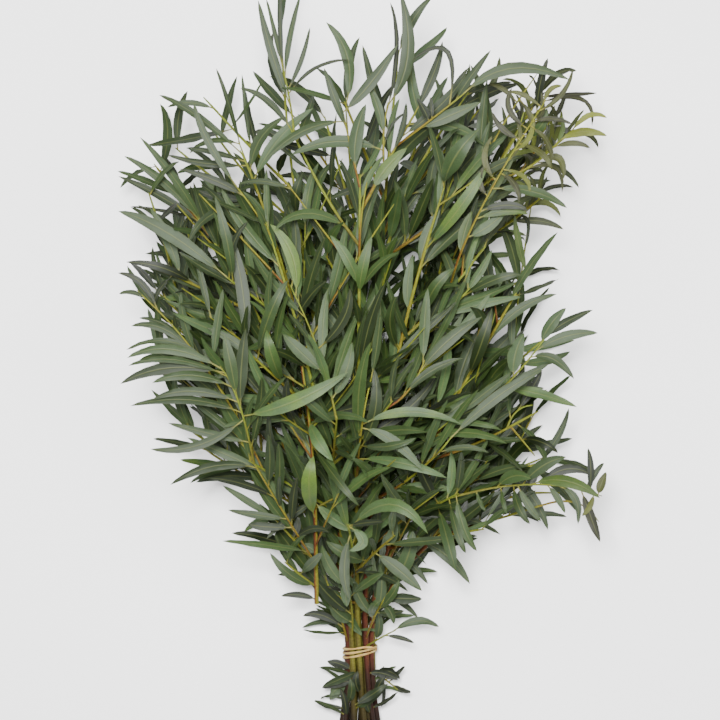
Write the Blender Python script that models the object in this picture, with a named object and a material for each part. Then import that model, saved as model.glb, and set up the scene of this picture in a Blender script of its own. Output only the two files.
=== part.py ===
"""A tied bunch of willow-leaved eucalyptus, lying on its side on a flat surface.

Sixteen cut branches are gathered in a wound tan band near their cut ends, and one short loose
sprig is caught among them. Each branch is one solid: its woody stem, its side twigs and its
narrow sickle-shaped leaves. The branches fan out from the band along +Y. Twigs and leaves grow
by rule, and each is turned until it lies clear of what grew before it. Lengths are in metres.
"""

import math
import random

import bmesh
import bpy
import numpy
from mathutils import Matrix, Vector
from mathutils.bvhtree import BVHTree

MM = 0.001
SEED = 11

# The wound band, whose middle is the point that the branches are placed from
STRAND_WIDTH = 2.7 * MM
STRAND_THICKNESS = 1.8 * MM
BAND_INNER_RADIUS = 16.6 * MM
BAND_SEGMENTS = 24
BAND_START = 240.0
BAND_END = -645.0
STRAND_SIDES = 6
STRAND_STEP_LEFT = 4.5 * MM
STRAND_STEP_RIGHT = 3.2 * MM
BAND_TILT = 0.16
TAIL_LENGTH = 15.0 * MM
SEAT_GAP = 0.3 * MM
BAND_OUTER_RADIUS = BAND_INNER_RADIUS + STRAND_THICKNESS
BAND_HEIGHT = BAND_OUTER_RADIUS * math.cos(math.pi / BAND_SEGMENTS)

# Stems in the band and below it
STEM_RADII_AT_BAND = (2.5 * MM, 3.1 * MM)
STEM_SWELL_AT_CUT = 1.12
STEM_RADIUS_AT_TIP = 1.1 * MM
OUTER_RING_RADIUS = BAND_INNER_RADIUS - SEAT_GAP
INNER_RING_RADIUS = 6.1 * MM
INNER_COUNT = 5
BUTT_LENGTH = 94.0 * MM
BUTT_SPREAD = 0.62
BUTT_SWELL = 0.07
BUTT_RISE = 1.5 * MM
TWIST_RATE = math.radians(22.0) / BUTT_LENGTH
STEM_SIDES = 5
BUTT_RINGS = 3
STEM_RINGS = 9
BAND_REACH = 12.0 * MM
LEAN_ACROSS = 0.32
LEAN_MIDDLE = 0.26
LEAN_UP = 0.16

# Twigs
TWIG_RADIUS_AT_ROOT = 1.5 * MM
TWIG_RADIUS_AT_TIP = 1.0 * MM
TWIG_SIDES = 4
TWIG_RINGS = 3
TWIG_LENGTHS = (80.0 * MM, 190.0 * MM)
TWIG_ANGLES = (22.0, 58.0)
TWIG_COUNT = 58
TWIG_GOALS = 900
TWIG_GOAL_RANGES = ((-250.0, 252.0), (60.0, 560.0), (8.0, 225.0))
TWIG_TRIES = 60
GOLDEN_ANGLE = 137.5

# Leaves
LEAF_LENGTHS = (62.0 * MM, 104.0 * MM)
LEAF_WIDTH_SHARE = (0.105, 0.145)
LEAF_THICKNESS = 0.9 * MM
PETIOLE_WIDTH = 1.25 * MM
LEAF_ANGLES = (26.0, 62.0)
LEAF_STEPS = 12
LEAF_CUTS = (0, 3, 7, 12)
LOW_LEAVES = ((14.0 * MM, 62.0 * MM), (104.0 * MM, 132.0 * MM))
LEAF_TRIES = 16
LEAF_CHOICES = 4
LOOK_WEIGHTS = (1.0, 1.0, 0.6)
STEM_AND_TWIG_FIRST = (130.0 * MM, 16.0 * MM)
STEM_AND_TWIG_SPACING = (54.0 * MM, 33.5 * MM)
CLEARANCE = 0.35 * MM

# Height of the head at its sides, as a share of its height at the middle
DOME_EDGE = 0.4

# How far the head reaches to each side and up, at each distance from the band
REACH = (
    (-95.0, -44.0, 48.0, 46.0),
    (0.0, -46.0, 46.0, 54.0),
    (20.0, -62.0, 66.0, 80.0),
    (35.0, -78.0, 80.0, 96.0),
    (63.0, -86.0, 76.0, 116.0),
    (90.0, -118.0, 100.0, 138.0),
    (113.0, -140.0, 122.0, 158.0),
    (140.0, -142.0, 246.0, 176.0),
    (163.0, -150.0, 252.0, 190.0),
    (190.0, -200.0, 252.0, 205.0),
    (213.0, -208.0, 234.0, 218.0),
    (263.0, -214.0, 222.0, 232.0),
    (313.0, -238.0, 234.0, 238.0),
    (363.0, -246.0, 216.0, 242.0),
    (413.0, -246.0, 204.0, 242.0),
    (463.0, -250.0, 228.0, 240.0),
    (513.0, -246.0, 252.0, 232.0),
    (563.0, -212.0, 252.0, 220.0),
    (600.0, -140.0, 228.0, 206.0),
    (640.0, -118.0, 140.0, 192.0),
    (694.0, -100.0, 85.0, 180.0),
)

# Where each stem ends, from the middle of the band, and the heading of its last part in degrees
TIPS = (
    (-78.0, 622.0, 120.0, 92.0),
    (-15.0, 566.0, 60.0, 95.0),
    (38.0, 606.0, 140.0, 84.0),
    (104.0, 560.0, 172.0, 50.0),
    (180.0, 568.0, 112.0, 56.0),
    (206.0, 534.0, 66.0, 30.0),
    (162.0, 388.0, 168.0, 60.0),
    (190.0, 330.0, 112.0, 38.0),
    (206.0, 166.0, 42.0, -6.0),
    (-116.0, 512.0, 182.0, 112.0),
    (-168.0, 456.0, 138.0, 126.0),
    (-205.0, 372.0, 88.0, 140.0),
    (-166.0, 292.0, 52.0, 124.0),
    (-88.0, 432.0, 214.0, 108.0),
    (0.0, 476.0, 222.0, 90.0),
    (80.0, 468.0, 204.0, 72.0),
)

# The loose sprig: its cut end, its tip and its heading
SPRIG_CUT = (-44.0, 56.0, 120.0)
SPRIG_TIP = (-60.0, 322.0, 222.0)
SPRIG_HEADING = 100.0
SPRIG_RADIUS_AT_CUT = 2.4 * MM
SPRIG_RINGS = 8
SETTLE_STEP = 0.4 * MM


def clear_scene():
    for thing in list(bpy.data.objects):
        bpy.data.objects.remove(thing, do_unlink=True)


def blend(a, b, share):
    return a + (b - a) * share


def reach_at(y):
    """Left, right and top limits of the head at a distance from the band."""
    station = y / MM
    if station <= REACH[0][0]:
        return [value * MM for value in REACH[0][1:]]
    for low, high in zip(REACH, REACH[1:]):
        if station <= high[0]:
            share = (station - low[0]) / (high[0] - low[0])
            return [blend(a, b, share) * MM for a, b in zip(low[1:], high[1:])]
    return [0.0, 0.0, 0.0]


def within_reach(point, margin=0.0):
    """Whether a point lies in the head, which is domed across."""
    left, right, top = reach_at(point.y)
    across = 2.0 * (point.x - left) / (right - left) - 1.0 if right > left else 2.0
    if abs(across) >= 1.0 or not left + margin < point.x < right - margin:
        return False
    dome = DOME_EDGE + (1.0 - DOME_EDGE) * math.sqrt(1.0 - across * across)
    return point.z < top * dome - margin * 0.5


def rest_height(z, floor, softness):
    """Height of a line that bends to lie along the floor where it would pass below it."""
    gap = abs(z - floor)
    higher = max(z, floor)
    if gap < softness:
        higher += (softness - gap) ** 2 / (4.0 * softness)
    return higher


def frames_along(points, start_side):
    """A side direction at each point of a path, carried along it without twist."""
    sides = []
    side = start_side
    for index in range(len(points)):
        ahead = points[min(index + 1, len(points) - 1)]
        behind = points[max(index - 1, 0)]
        along = (ahead - behind).normalized()
        side = (side - along * side.dot(along)).normalized()
        sides.append((along, side, along.cross(side)))
    return sides


def tube_mesh(points, radii, side_count, growth=0.0):
    """Vertices and faces of a closed round bar along a path."""
    side = Vector((0.0, 0.0, 1.0))
    if abs((points[1] - points[0]).normalized().z) > 0.9:
        side = Vector((1.0, 0.0, 0.0))
    vertices = []
    faces = []
    for point, radius, frame in zip(points, radii, frames_along(points, side)):
        for step in range(side_count):
            angle = 2.0 * math.pi * (step + 0.5) / side_count
            out = frame[1] * math.cos(angle) + frame[2] * math.sin(angle)
            vertices.append(point + out * (radius + growth))
    for ring in range(len(points) - 1):
        for step in range(side_count):
            after = (step + 1) % side_count
            a = ring * side_count
            b = a + side_count
            faces.append((a + step, a + after, b + after))
            faces.append((a + step, b + after, b + step))
    last = (len(points) - 1) * side_count
    faces.append(tuple(reversed(range(side_count))))
    faces.append(tuple(range(last, last + side_count)))
    return vertices, faces


class Thicket:
    """All that has grown so far, to keep each new piece clear of it."""

    def __init__(self):
        self.pieces = []

    def add(self, solid, name):
        vertices, faces = solid
        low = [min(v[axis] for v in vertices) for axis in range(3)]
        high = [max(v[axis] for v in vertices) for axis in range(3)]
        tree = BVHTree.FromPolygons(vertices, faces)
        self.pieces.append((low, high, tree, name))

    def meets(self, solid, skip=None, only=None):
        """Whether a solid touches any piece but one, or touches only one given piece."""
        vertices, faces = solid
        low = [min(v[axis] for v in vertices) for axis in range(3)]
        high = [max(v[axis] for v in vertices) for axis in range(3)]
        tree = None
        for other_low, other_high, other, name in self.pieces:
            if name == skip or (only is not None and name != only):
                continue
            if low[0] > other_high[0] or high[0] < other_low[0]:
                continue
            if low[1] > other_high[1] or high[1] < other_low[1]:
                continue
            if low[2] > other_high[2] or high[2] < other_low[2]:
                continue
            if tree is None:
                tree = BVHTree.FromPolygons(vertices, faces)
            if tree.overlap(other):
                return True
        return False


def bezier(start, start_pull, end_pull, end, share):
    rest = 1.0 - share
    return (
        start * rest ** 3
        + start_pull * (3.0 * rest * rest * share)
        + end_pull * (3.0 * rest * share * share)
        + end * share ** 3
    )


def heading_vector(degrees, rise=0.0):
    angle = math.radians(degrees)
    return Vector((math.cos(angle), math.sin(angle), rise)).normalized()


def pull_back(tip):
    """The point that a stem heads for before it bends into its last heading."""
    end = Vector(tip[:3]) * MM
    length = (end - Vector((0.0, 0.0, BAND_HEIGHT))).length
    return end - heading_vector(tip[3], 0.08) * (length * 0.36)


def seats_in_band(rng):
    """Gives each stem a place in the band on the side that it leans to."""
    leans = []
    for tip in TIPS:
        point = pull_back(tip)
        rise = (point.z - BAND_HEIGHT) / point.y
        leans.append((point.x / point.y / LEAN_ACROSS, (rise - LEAN_MIDDLE) / LEAN_UP))
    order = sorted(range(len(TIPS)), key=lambda i: math.hypot(*leans[i]))
    seats = [None] * len(TIPS)
    for group, radius in ((order[:INNER_COUNT], INNER_RING_RADIUS),
                          (order[INNER_COUNT:], OUTER_RING_RADIUS)):
        turn = 2.0 * math.pi / len(group)
        around = sorted(group, key=lambda i: math.atan2(leans[i][1], leans[i][0]))
        first = 0.0
        for place, index in enumerate(around):
            first += (math.atan2(leans[index][1], leans[index][0]) - place * turn) / len(around)
        for place, index in enumerate(around):
            thickness = rng.uniform(*STEM_RADII_AT_BAND)
            reach = radius if radius < OUTER_RING_RADIUS else radius - thickness
            seats[index] = (reach, first + place * turn, thickness)
    return seats


def seat_point(seat, y):
    """Where a stem's centre lies near the band, turning slightly with the bundle."""
    radius, angle, _ = seat
    share = max(0.0, (-y - BAND_REACH) / (BUTT_LENGTH - BAND_REACH)) ** 2
    turned = angle + TWIST_RATE * y
    x = radius * math.cos(turned) * (1.0 + BUTT_SPREAD * share)
    z = radius * math.sin(turned) * (1.0 + BUTT_SWELL * share) + BUTT_RISE * share
    return Vector((x, y, BAND_HEIGHT + z))


def stem_path(seat, tip, butt_length):
    """Centre line of a tied stem, from its cut end through the band to its tip."""
    points = [seat_point(seat, y) for y in (-butt_length, -butt_length * 0.5, -BAND_REACH)]
    start = seat_point(seat, BAND_REACH)
    end = Vector(tip[:3]) * MM
    along = (start - points[-1]).normalized()
    pull = start + along * ((end - start).length * 0.22)
    back = pull_back(tip)
    for ring in range(STEM_RINGS):
        points.append(bezier(start, pull, back, end, ring / (STEM_RINGS - 1)))
    return points


def smooth_point(points, share):
    """A point and direction at a share of the length of a path."""
    lengths = [0.0]
    for a, b in zip(points, points[1:]):
        lengths.append(lengths[-1] + (b - a).length)
    target = share * lengths[-1]
    for index in range(len(points) - 1):
        if target <= lengths[index + 1] or index == len(points) - 2:
            span = lengths[index + 1] - lengths[index]
            part = (target - lengths[index]) / span
            return points[index].lerp(points[index + 1], part), (points[index + 1] - points[index]).normalized()


def path_length(points):
    return sum((b - a).length for a, b in zip(points, points[1:]))


def turned_from(along, angle, azimuth):
    """A direction at an angle from another, turned round it from straight up."""
    side = Vector((0.0, 0.0, 1.0))
    side = side - along * side.dot(along)
    if side.length < 0.05:
        side = Vector((0.0, 1.0, 0.0)) - along * along.y
    side.normalize()
    across = along.cross(side)
    out = side * math.cos(azimuth) + across * math.sin(azimuth)
    return (along * math.cos(angle) + out * math.sin(angle)).normalized()


def leaf_line(root, direction, facing, length, sickle, droop):
    """Centre, width and normal directions of a leaf at each of its steps."""
    point = root.copy()
    step = length / LEAF_STEPS
    pull = Vector((0.0, -1.0, -0.25)).normalized()
    line = []
    for index in range(LEAF_STEPS + 1):
        normal = (facing - direction * facing.dot(direction)).normalized()
        line.append((point.copy(), direction.copy(), normal))
        share = (index + 0.5) / LEAF_STEPS
        turn = Matrix.Rotation(sickle / LEAF_STEPS * (0.4 + 1.2 * share), 3, normal)
        direction = turn @ direction
        axis = direction.cross(pull)
        if axis.length > 0.02:
            fall = droop / LEAF_STEPS * (0.3 + 1.4 * share) * axis.length
            direction = Matrix.Rotation(fall, 3, axis.normalized()) @ direction
        direction.normalize()
        point = point + direction * step
    return line


def leaf_width(share, width):
    """Width of the blade at a share of its length: a thin stalk, then a long lance."""
    if share < 0.1:
        return PETIOLE_WIDTH
    blade = (share - 0.1) / 0.9
    swell = math.sin(math.pi * blade ** 0.8) ** 0.85
    return PETIOLE_WIDTH + (width - PETIOLE_WIDTH) * swell


def leaf_mesh(line, width, growth=0.0, first=0):
    """Vertices and faces of a thin leaf: flat above, with a keel along its underside."""
    vertices = []
    faces = []
    level = LEAF_THICKNESS + 0.02 * MM
    cuts = LEAF_CUTS[first:]
    for cut in cuts[:-1]:
        point, direction, normal = line[cut]
        half = leaf_width(cut / LEAF_STEPS, width) / 2.0
        height = rest_height(point.z, level, 6.0 * MM)
        lifted = min(1.0, max(0.0, (height - level) / (half + 2.0 * MM)))
        upright = Vector((0.0, 0.0, 1.0)) if normal.z >= 0.0 else Vector((0.0, 0.0, -1.0))
        if lifted < 1.0:
            upright.z = 1.0
        facing = upright.lerp(normal, lifted)
        if facing.length < 0.1:
            facing = upright
        flat = direction.copy()
        flat.z = blend(0.0, flat.z, lifted)
        if flat.length < 0.2:
            flat = direction.copy()
        flat.normalize()
        facing = (facing - flat * facing.dot(flat)).normalized()
        across = flat.cross(facing)
        centre = Vector((point.x, point.y, height))
        wide = across * (half + growth)
        corners = [wide, facing * -(LEAF_THICKNESS + growth), -wide]
        if growth:
            lift = facing * growth
            corners = [wide + lift, wide - lift * 0.5, corners[1], -wide - lift * 0.5, lift - wide]
        vertices += [centre + corner for corner in corners]
    point, direction, _ = line[cuts[-1]]
    tip = Vector((point.x, point.y, rest_height(point.z, level, 6.0 * MM)))
    vertices.append(tip + direction * growth)
    sides = len(corners)
    last = len(vertices) - 1 - sides
    for a in range(0, last, sides):
        b = a + sides
        for step in range(sides):
            after = (step + 1) % sides
            faces.append((a + step, a + after, b + after))
            faces.append((a + step, b + after, b + step))
    for step in range(sides):
        faces.append((last + step, last + (step + 1) % sides, len(vertices) - 1))
    faces.append(tuple(reversed(range(sides))))
    for vertex in vertices:
        vertex.z = max(vertex.z, 0.0)
    return vertices, faces


def solid_volume(solid):
    vertices, faces = solid
    volume = 0.0
    for face in faces:
        first = vertices[face[0]]
        for second, third in zip(face[1:-1], face[2:]):
            volume += first.dot(vertices[second].cross(vertices[third])) / 6.0
    return volume


def leaf_is_sound(line, width):
    """False for a leaf that would turn over on itself or crumple where it meets the surface."""
    for point, direction, normal in line:
        if point.z < 14.0 * MM and abs(direction.z) > 0.7:
            return False
    for first, second in zip(line, line[1:]):
        if first[2].dot(second[2]) < 0.9:
            return False
    length = LEAF_STEPS * (line[1][0] - line[0][0]).length
    full = 0.25 * length * width * LEAF_THICKNESS
    return solid_volume(leaf_mesh(line, width)) > full


class Bar:
    """A stem or twig: its path, its thickness along it and the branch that it belongs to."""

    def __init__(self, branch, name, points, radii, sides):
        self.branch = branch
        self.name = name
        self.points = points
        self.radii = radii
        self.sides = sides

    def solid(self, growth=0.0, first=0):
        return tube_mesh(self.points[first:], self.radii[first:], self.sides, growth)


def stem_bars():
    """The tied stems."""
    bars = []
    rng = random.Random(SEED)
    for index, (seat, tip) in enumerate(zip(seats_in_band(rng), TIPS)):
        points = stem_path(seat, tip, BUTT_LENGTH - rng.uniform(0.0, 12.0) * MM)
        radii = []
        for ring in range(len(points)):
            if ring < BUTT_RINGS:
                share = 1.0 - ring / (BUTT_RINGS - 1)
                radii.append(seat[2] * blend(1.0, STEM_SWELL_AT_CUT, share))
            else:
                share = (ring - BUTT_RINGS) / (STEM_RINGS - 1)
                radii.append(blend(seat[2], STEM_RADIUS_AT_TIP, share ** 0.85))
        for point, radius in zip(points, radii):
            point.z = rest_height(point.z, radius, 2.0 * MM)
        bars.append(Bar(index, "stem %d" % index, points, radii, STEM_SIDES))
    return bars


def loose_sprig(thicket):
    """The short cut sprig, lowered until it rests just clear of the twigs under it."""
    start = Vector(SPRIG_CUT) * MM
    end = Vector(SPRIG_TIP) * MM
    back = end - heading_vector(SPRIG_HEADING, 0.1) * (end - start).length * 0.4
    pull = start + heading_vector(91.0, 0.3) * (end - start).length * 0.3
    points = []
    radii = []
    for ring in range(SPRIG_RINGS):
        share = ring / (SPRIG_RINGS - 1)
        points.append(bezier(start, pull, back, end, share))
        radii.append(blend(SPRIG_RADIUS_AT_CUT, STEM_RADIUS_AT_TIP, share))
    sprig = Bar(len(TIPS), "stem %d" % len(TIPS), points, radii, STEM_SIDES)
    while points[0].z > SPRIG_RADIUS_AT_CUT:
        points = [point - Vector((0.0, 0.0, SETTLE_STEP)) for point in points]
        lower = Bar(sprig.branch, sprig.name, points, radii, STEM_SIDES)
        if thicket.meets(lower.solid(CLEARANCE)):
            break
        sprig = lower
    return sprig


def points_along(bar, gap):
    """Evenly spaced points along a bar, beyond the bare lower stems."""
    count = max(2, int(path_length(bar.points) / gap))
    places = [smooth_point(bar.points, step / count)[0] for step in range(count + 1)]
    return [place for place in places if place.y > 20.0 * MM]


def twig_to(rng, stem, goal):
    """The twig that would best reach a goal from a stem, and how well its angle suits."""
    best = None
    for step in range(16):
        share = 0.18 + 0.76 * step / 15.0
        root, along = smooth_point(stem.points, share)
        if root.y < 45.0 * MM:
            continue
        way = goal - root
        length = way.length
        if not TWIG_LENGTHS[0] < length < TWIG_LENGTHS[1]:
            continue
        angle = math.degrees(along.angle(way))
        if not TWIG_ANGLES[0] < angle < TWIG_ANGLES[1]:
            continue
        cost = abs(angle - 36.0) / 36.0 + abs(length - 125.0 * MM) / (125.0 * MM)
        if best is None or cost < best[0]:
            best = (cost, root, along, way)
    if best is None:
        return None
    cost, root, along, way = best
    bend = way * 0.5 + along * (way.length * rng.uniform(-0.13, 0.05))
    points = []
    for ring in range(TWIG_RINGS + 1):
        share = ring / TWIG_RINGS
        point = root + bend * (2.0 * share * (1.0 - share)) + way * share ** 2
        if ring:
            point.z = rest_height(point.z, TWIG_RADIUS_AT_ROOT, 8.0 * MM)
        points.append(point)
    return cost, points


def grow_twigs(rng, thicket, stems):
    """Side twigs, each grown from a stem towards the emptiest place that one can reach."""
    filled = [tuple(place) for stem in stems for place in points_along(stem, 12.0 * MM)]
    goals = []
    while len(goals) < TWIG_GOALS:
        goal = Vector([rng.uniform(low, high) * MM for low, high in TWIG_GOAL_RANGES])
        if within_reach(goal, 38.0 * MM):
            goals.append(goal)
    spots = numpy.array([tuple(goal) for goal in goals])
    room = numpy.full(len(goals), 1.0)
    for place in filled:
        room = numpy.minimum(room, numpy.linalg.norm((spots - place) * LOOK_WEIGHTS, axis=1))
    radii = []
    for ring in range(TWIG_RINGS + 1):
        radii.append(blend(TWIG_RADIUS_AT_ROOT, TWIG_RADIUS_AT_TIP, ring / TWIG_RINGS))
    counts = [0] * len(stems)
    twigs = []
    tries = 0
    while len(twigs) < TWIG_COUNT and room.max() > 0.0 and tries < TWIG_COUNT * TWIG_TRIES:
        tries += 1
        pick = int(room.argmax())
        choices = []
        for index, stem in enumerate(stems):
            found = twig_to(rng, stem, goals[pick])
            if found is not None:
                choices.append((found[0] + 0.25 * counts[index], index, found[1]))
        room[pick] = -1.0
        for _, index, points in sorted(choices, key=lambda choice: choice[0])[:4]:
            stem = stems[index]
            twig = Bar(stem.branch, "twig %d" % len(thicket.pieces), points, radii, TWIG_SIDES)
            if thicket.meets(twig.solid(CLEARANCE), skip=stem.name):
                continue
            if thicket.meets(twig.solid(CLEARANCE, first=1), only=stem.name):
                continue
            thicket.add(twig.solid(), twig.name)
            twigs.append(twig)
            counts[index] += 1
            for place in points_along(twig, 12.0 * MM):
                near = numpy.linalg.norm((spots - tuple(place)) * LOOK_WEIGHTS, axis=1)
                room = numpy.minimum(room, near)
            break
    return twigs


def leaf_places(rng, bars, first, spacing):
    """Where leaves sit along stems and twigs, turning by the golden angle."""
    places = []
    low = []
    for bar in bars:
        length = path_length(bar.points)
        stem = bar.sides == STEM_SIDES
        start = first[0] if stem else first[1]
        step = spacing[0] if stem else spacing[1]
        azimuth = rng.uniform(0.0, 360.0)
        reached = start + rng.uniform(0.0, 0.6) * step
        while reached < length - 0.35 * step:
            places.append((bar, reached / length, azimuth, "side"))
            azimuth += GOLDEN_ANGLE + rng.uniform(-15.0, 15.0)
            reached += step * rng.uniform(0.8, 1.2)
        if stem and bar.branch < len(TIPS):
            for span in LOW_LEAVES:
                low.append((bar, rng.uniform(*span) / length, azimuth, "low"))
    rng.shuffle(places)
    ends = [(bar, 1.0 - 3.0 * MM / path_length(bar.points), 0.0, "end") for bar in bars]
    return ends + low + places


def grow_leaves(rng, thicket, places, crowd):
    """Leaves at their places; of a few that lie clear, the one with most room is kept."""
    leaves = []
    for bar, share, azimuth, kind in places:
        root, along = smooth_point(bar.points, share)
        size = rng.random()
        slim = rng.uniform(*LEAF_WIDTH_SHARE)
        young = bar.branch in YOUNG
        best = None
        found = 0
        for attempt in range(LEAF_TRIES):
            loose = attempt / LEAF_TRIES
            angle = math.radians(rng.uniform(*LEAF_ANGLES))
            if kind == "end":
                angle = math.radians(rng.uniform(2.0, 16.0) + 40.0 * loose)
            if kind == "low":
                angle = math.radians(rng.uniform(45.0, 78.0))
            turn = math.radians(azimuth + rng.uniform(-60.0, 60.0) + rng.uniform(-130.0, 130.0) * loose)
            direction = turned_from(along, angle, turn)
            facing = Vector((rng.gauss(0.0, 0.5), rng.gauss(0.0, 0.5), 1.0)).normalized()
            if abs(facing.dot(direction)) > 0.93:
                facing = Vector((0.0, -1.0, 0.4)).normalized()
            length = blend(LEAF_LENGTHS[0], LEAF_LENGTHS[1], size) * (1.0 - 0.38 * loose)
            sickle = math.radians(rng.choice((-1.0, 1.0)) * rng.uniform(4.0, 42.0))
            droop = math.radians(rng.uniform(0.0, 48.0))
            if kind == "low":
                length *= 0.5
            if young:
                length *= 0.72
                sickle *= 1.8
                droop *= 1.5
            line = leaf_line(root, direction, facing, length, sickle, droop)
            width = length * slim
            if not within_reach(line[-1][0]) or not leaf_is_sound(line, width):
                continue
            if thicket.meets(leaf_mesh(line, width, CLEARANCE), skip=bar.name):
                continue
            if thicket.meets(leaf_mesh(line, width, CLEARANCE, 1), only=bar.name):
                continue
            spots = numpy.array([tuple(line[step][0]) for step in (5, 8, 12)]) * LOOK_WEIGHTS
            room = 1.0
            if crowd:
                apart = numpy.array(crowd)[:, None, :] - spots[None, :, :]
                room = numpy.sqrt((apart ** 2).sum(axis=2)).min(axis=0).mean()
            if best is None or room > best[0]:
                best = (room, line, width, spots)
            found += 1
            if found == LEAF_CHOICES:
                break
        if best is not None:
            thicket.add(leaf_mesh(best[1], best[2]), "leaf %d" % len(thicket.pieces))
            leaves.append((bar, best[1], best[2]))
            crowd.extend([tuple(spot) for spot in best[3]])
    return leaves


def band_path():
    """Centre line of the strand wound round the stems, with its free tail at the right."""
    radius = BAND_INNER_RADIUS + STRAND_THICKNESS / 2.0
    step = 360.0 / BAND_SEGMENTS
    count = int(round((BAND_START - BAND_END) / step))
    points = []
    for index in range(count + 1):
        degrees = BAND_START - index * step + step / 2.0
        angle = math.radians(degrees)
        x = radius * math.cos(angle)
        z = BAND_HEIGHT + radius * math.sin(angle)
        side = 0.5 + 0.5 * math.cos(angle)
        spacing = blend(STRAND_STEP_LEFT, STRAND_STEP_RIGHT, side)
        turns = (BAND_START - degrees) / 360.0 - 1.23
        points.append(Vector((x, spacing * turns + BAND_TILT * x, z)))
    return points


def strand_ring(point, out):
    """Six corners of the strand's section, with its flat outer face square to one direction."""
    corners = []
    for step in range(STRAND_SIDES):
        angle = 2.0 * math.pi * step / STRAND_SIDES
        wide = math.cos(angle) * STRAND_WIDTH / 2.0
        thick = math.sin(angle) * STRAND_THICKNESS / math.sqrt(3.0)
        corners.append(point + Vector((0.0, wide, 0.0)) + out * thick)
    return corners


def band_mesh():
    """Closed flat strand along the band's path; its outer face is flat where it rests."""
    points = band_path()
    vertices = []
    for point in points:
        out = Vector((point.x, 0.0, point.z - BAND_HEIGHT)).normalized()
        vertices += strand_ring(point, out)
    ahead = (points[-1] - points[-2]).normalized()
    for share in (0.35, 0.7, 1.0):
        sag = Vector((0.0, -3.0, -1.0)) * MM * share ** 2
        vertices += strand_ring(points[-1] + ahead * TAIL_LENGTH * share + sag, out)
    rings = len(vertices) // STRAND_SIDES
    faces = []
    for ring in range(rings - 1):
        for step in range(STRAND_SIDES):
            after = (step + 1) % STRAND_SIDES
            a = ring * STRAND_SIDES
            b = a + STRAND_SIDES
            faces.append((a + step, a + after, b + after, b + step))
    last = (rings - 1) * STRAND_SIDES
    faces.append(tuple(reversed(range(STRAND_SIDES))))
    faces.append(tuple(range(last, last + STRAND_SIDES)))
    return vertices, faces


def make_material(name, colour, roughness):
    material = bpy.data.materials.new(name)
    material.use_nodes = True
    shader = material.node_tree.nodes["Principled BSDF"]
    shader.inputs["Base Color"].default_value = (*colour, 1.0)
    shader.inputs["Roughness"].default_value = roughness
    shader.inputs["Metallic"].default_value = 0.0
    return material


def make_object(name, solid, holder, smooth):
    """An object whose faces all look outward, linked into a collection."""
    mesh = bpy.data.meshes.new(name)
    mesh.from_pydata([tuple(v) for v in solid[0]], [], solid[1])
    mesh.update()
    form = bmesh.new()
    form.from_mesh(mesh)
    bmesh.ops.recalc_face_normals(form, faces=form.faces)
    form.to_mesh(mesh)
    form.free()
    for face in mesh.polygons:
        face.use_smooth = smooth
    thing = bpy.data.objects.new(name, mesh)
    holder.objects.link(thing)
    return thing


def fuse(base, holder):
    """Joins a stem with all that grows from it, then clears the loose pieces away."""
    modifier = base.modifiers.new("grown together", "BOOLEAN")
    modifier.operation = "UNION"
    modifier.operand_type = "COLLECTION"
    modifier.collection = holder
    modifier.solver = "MANIFOLD"
    for thing in bpy.context.selected_objects:
        thing.select_set(False)
    bpy.context.view_layer.objects.active = base
    base.select_set(True)
    bpy.ops.object.modifier_apply(modifier=modifier.name)
    for thing in list(holder.objects):
        mesh = thing.data
        bpy.data.objects.remove(thing, do_unlink=True)
        bpy.data.meshes.remove(mesh)
    bpy.data.collections.remove(holder)


YOUNG = (4, 5)
BRANCH_NAMES = ["branch_%02d" % (index + 1) for index in range(len(TIPS))] + ["loose_sprig"]


def build():
    clear_scene()
    rng = random.Random(SEED)
    thicket = Thicket()
    band = band_mesh()
    thicket.add(band, "band")
    stems = stem_bars()
    for stem in stems:
        thicket.add(stem.solid(), stem.name)
    twigs = grow_twigs(rng, thicket, stems)
    sprig = loose_sprig(thicket)
    thicket.add(sprig.solid(), sprig.name)
    stems.append(sprig)
    places = leaf_places(rng, stems + twigs, STEM_AND_TWIG_FIRST, STEM_AND_TWIG_SPACING)
    leaves = grow_leaves(rng, thicket, places, [])
    scene = bpy.context.scene.collection
    solids = []
    for stem in stems:
        name = BRANCH_NAMES[stem.branch]
        base = make_object(name, stem.solid(), scene, True)
        holder = bpy.data.collections.new(name + " growth")
        scene.children.link(holder)
        for twig in twigs:
            if twig.branch == stem.branch:
                make_object(twig.name, twig.solid(), holder, True)
        for bar, line, width in leaves:
            if bar.branch == stem.branch:
                make_object("leaf", leaf_mesh(line, width), holder, False)
        fuse(base, holder)
        colour = (0.12, 0.2, 0.07) if stem.branch not in YOUNG else (0.22, 0.3, 0.07)
        base.data.materials.clear()
        base.data.materials.append(make_material(name + " green", colour, 0.6))
        solids.append(base)
    tie = make_object("tie_band", band, scene, False)
    tie.data.materials.append(make_material("tie tan", (0.72, 0.5, 0.25), 0.7))
    solids.append(tie)
    low = [min(v.co[axis] for s in solids for v in s.data.vertices) for axis in range(3)]
    high = [max(v.co[axis] for s in solids for v in s.data.vertices) for axis in range(3)]
    middle = bpy.data.objects.new("bunch", None)
    scene.objects.link(middle)
    middle.location = (-(low[0] + high[0]) / 2.0, -(low[1] + high[1]) / 2.0, -low[2])
    for thing in solids:
        thing.parent = middle


build()
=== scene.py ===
import math
import random

import bpy
import numpy
from mathutils import Matrix, Vector
from mathutils.bvhtree import BVHTree


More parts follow.
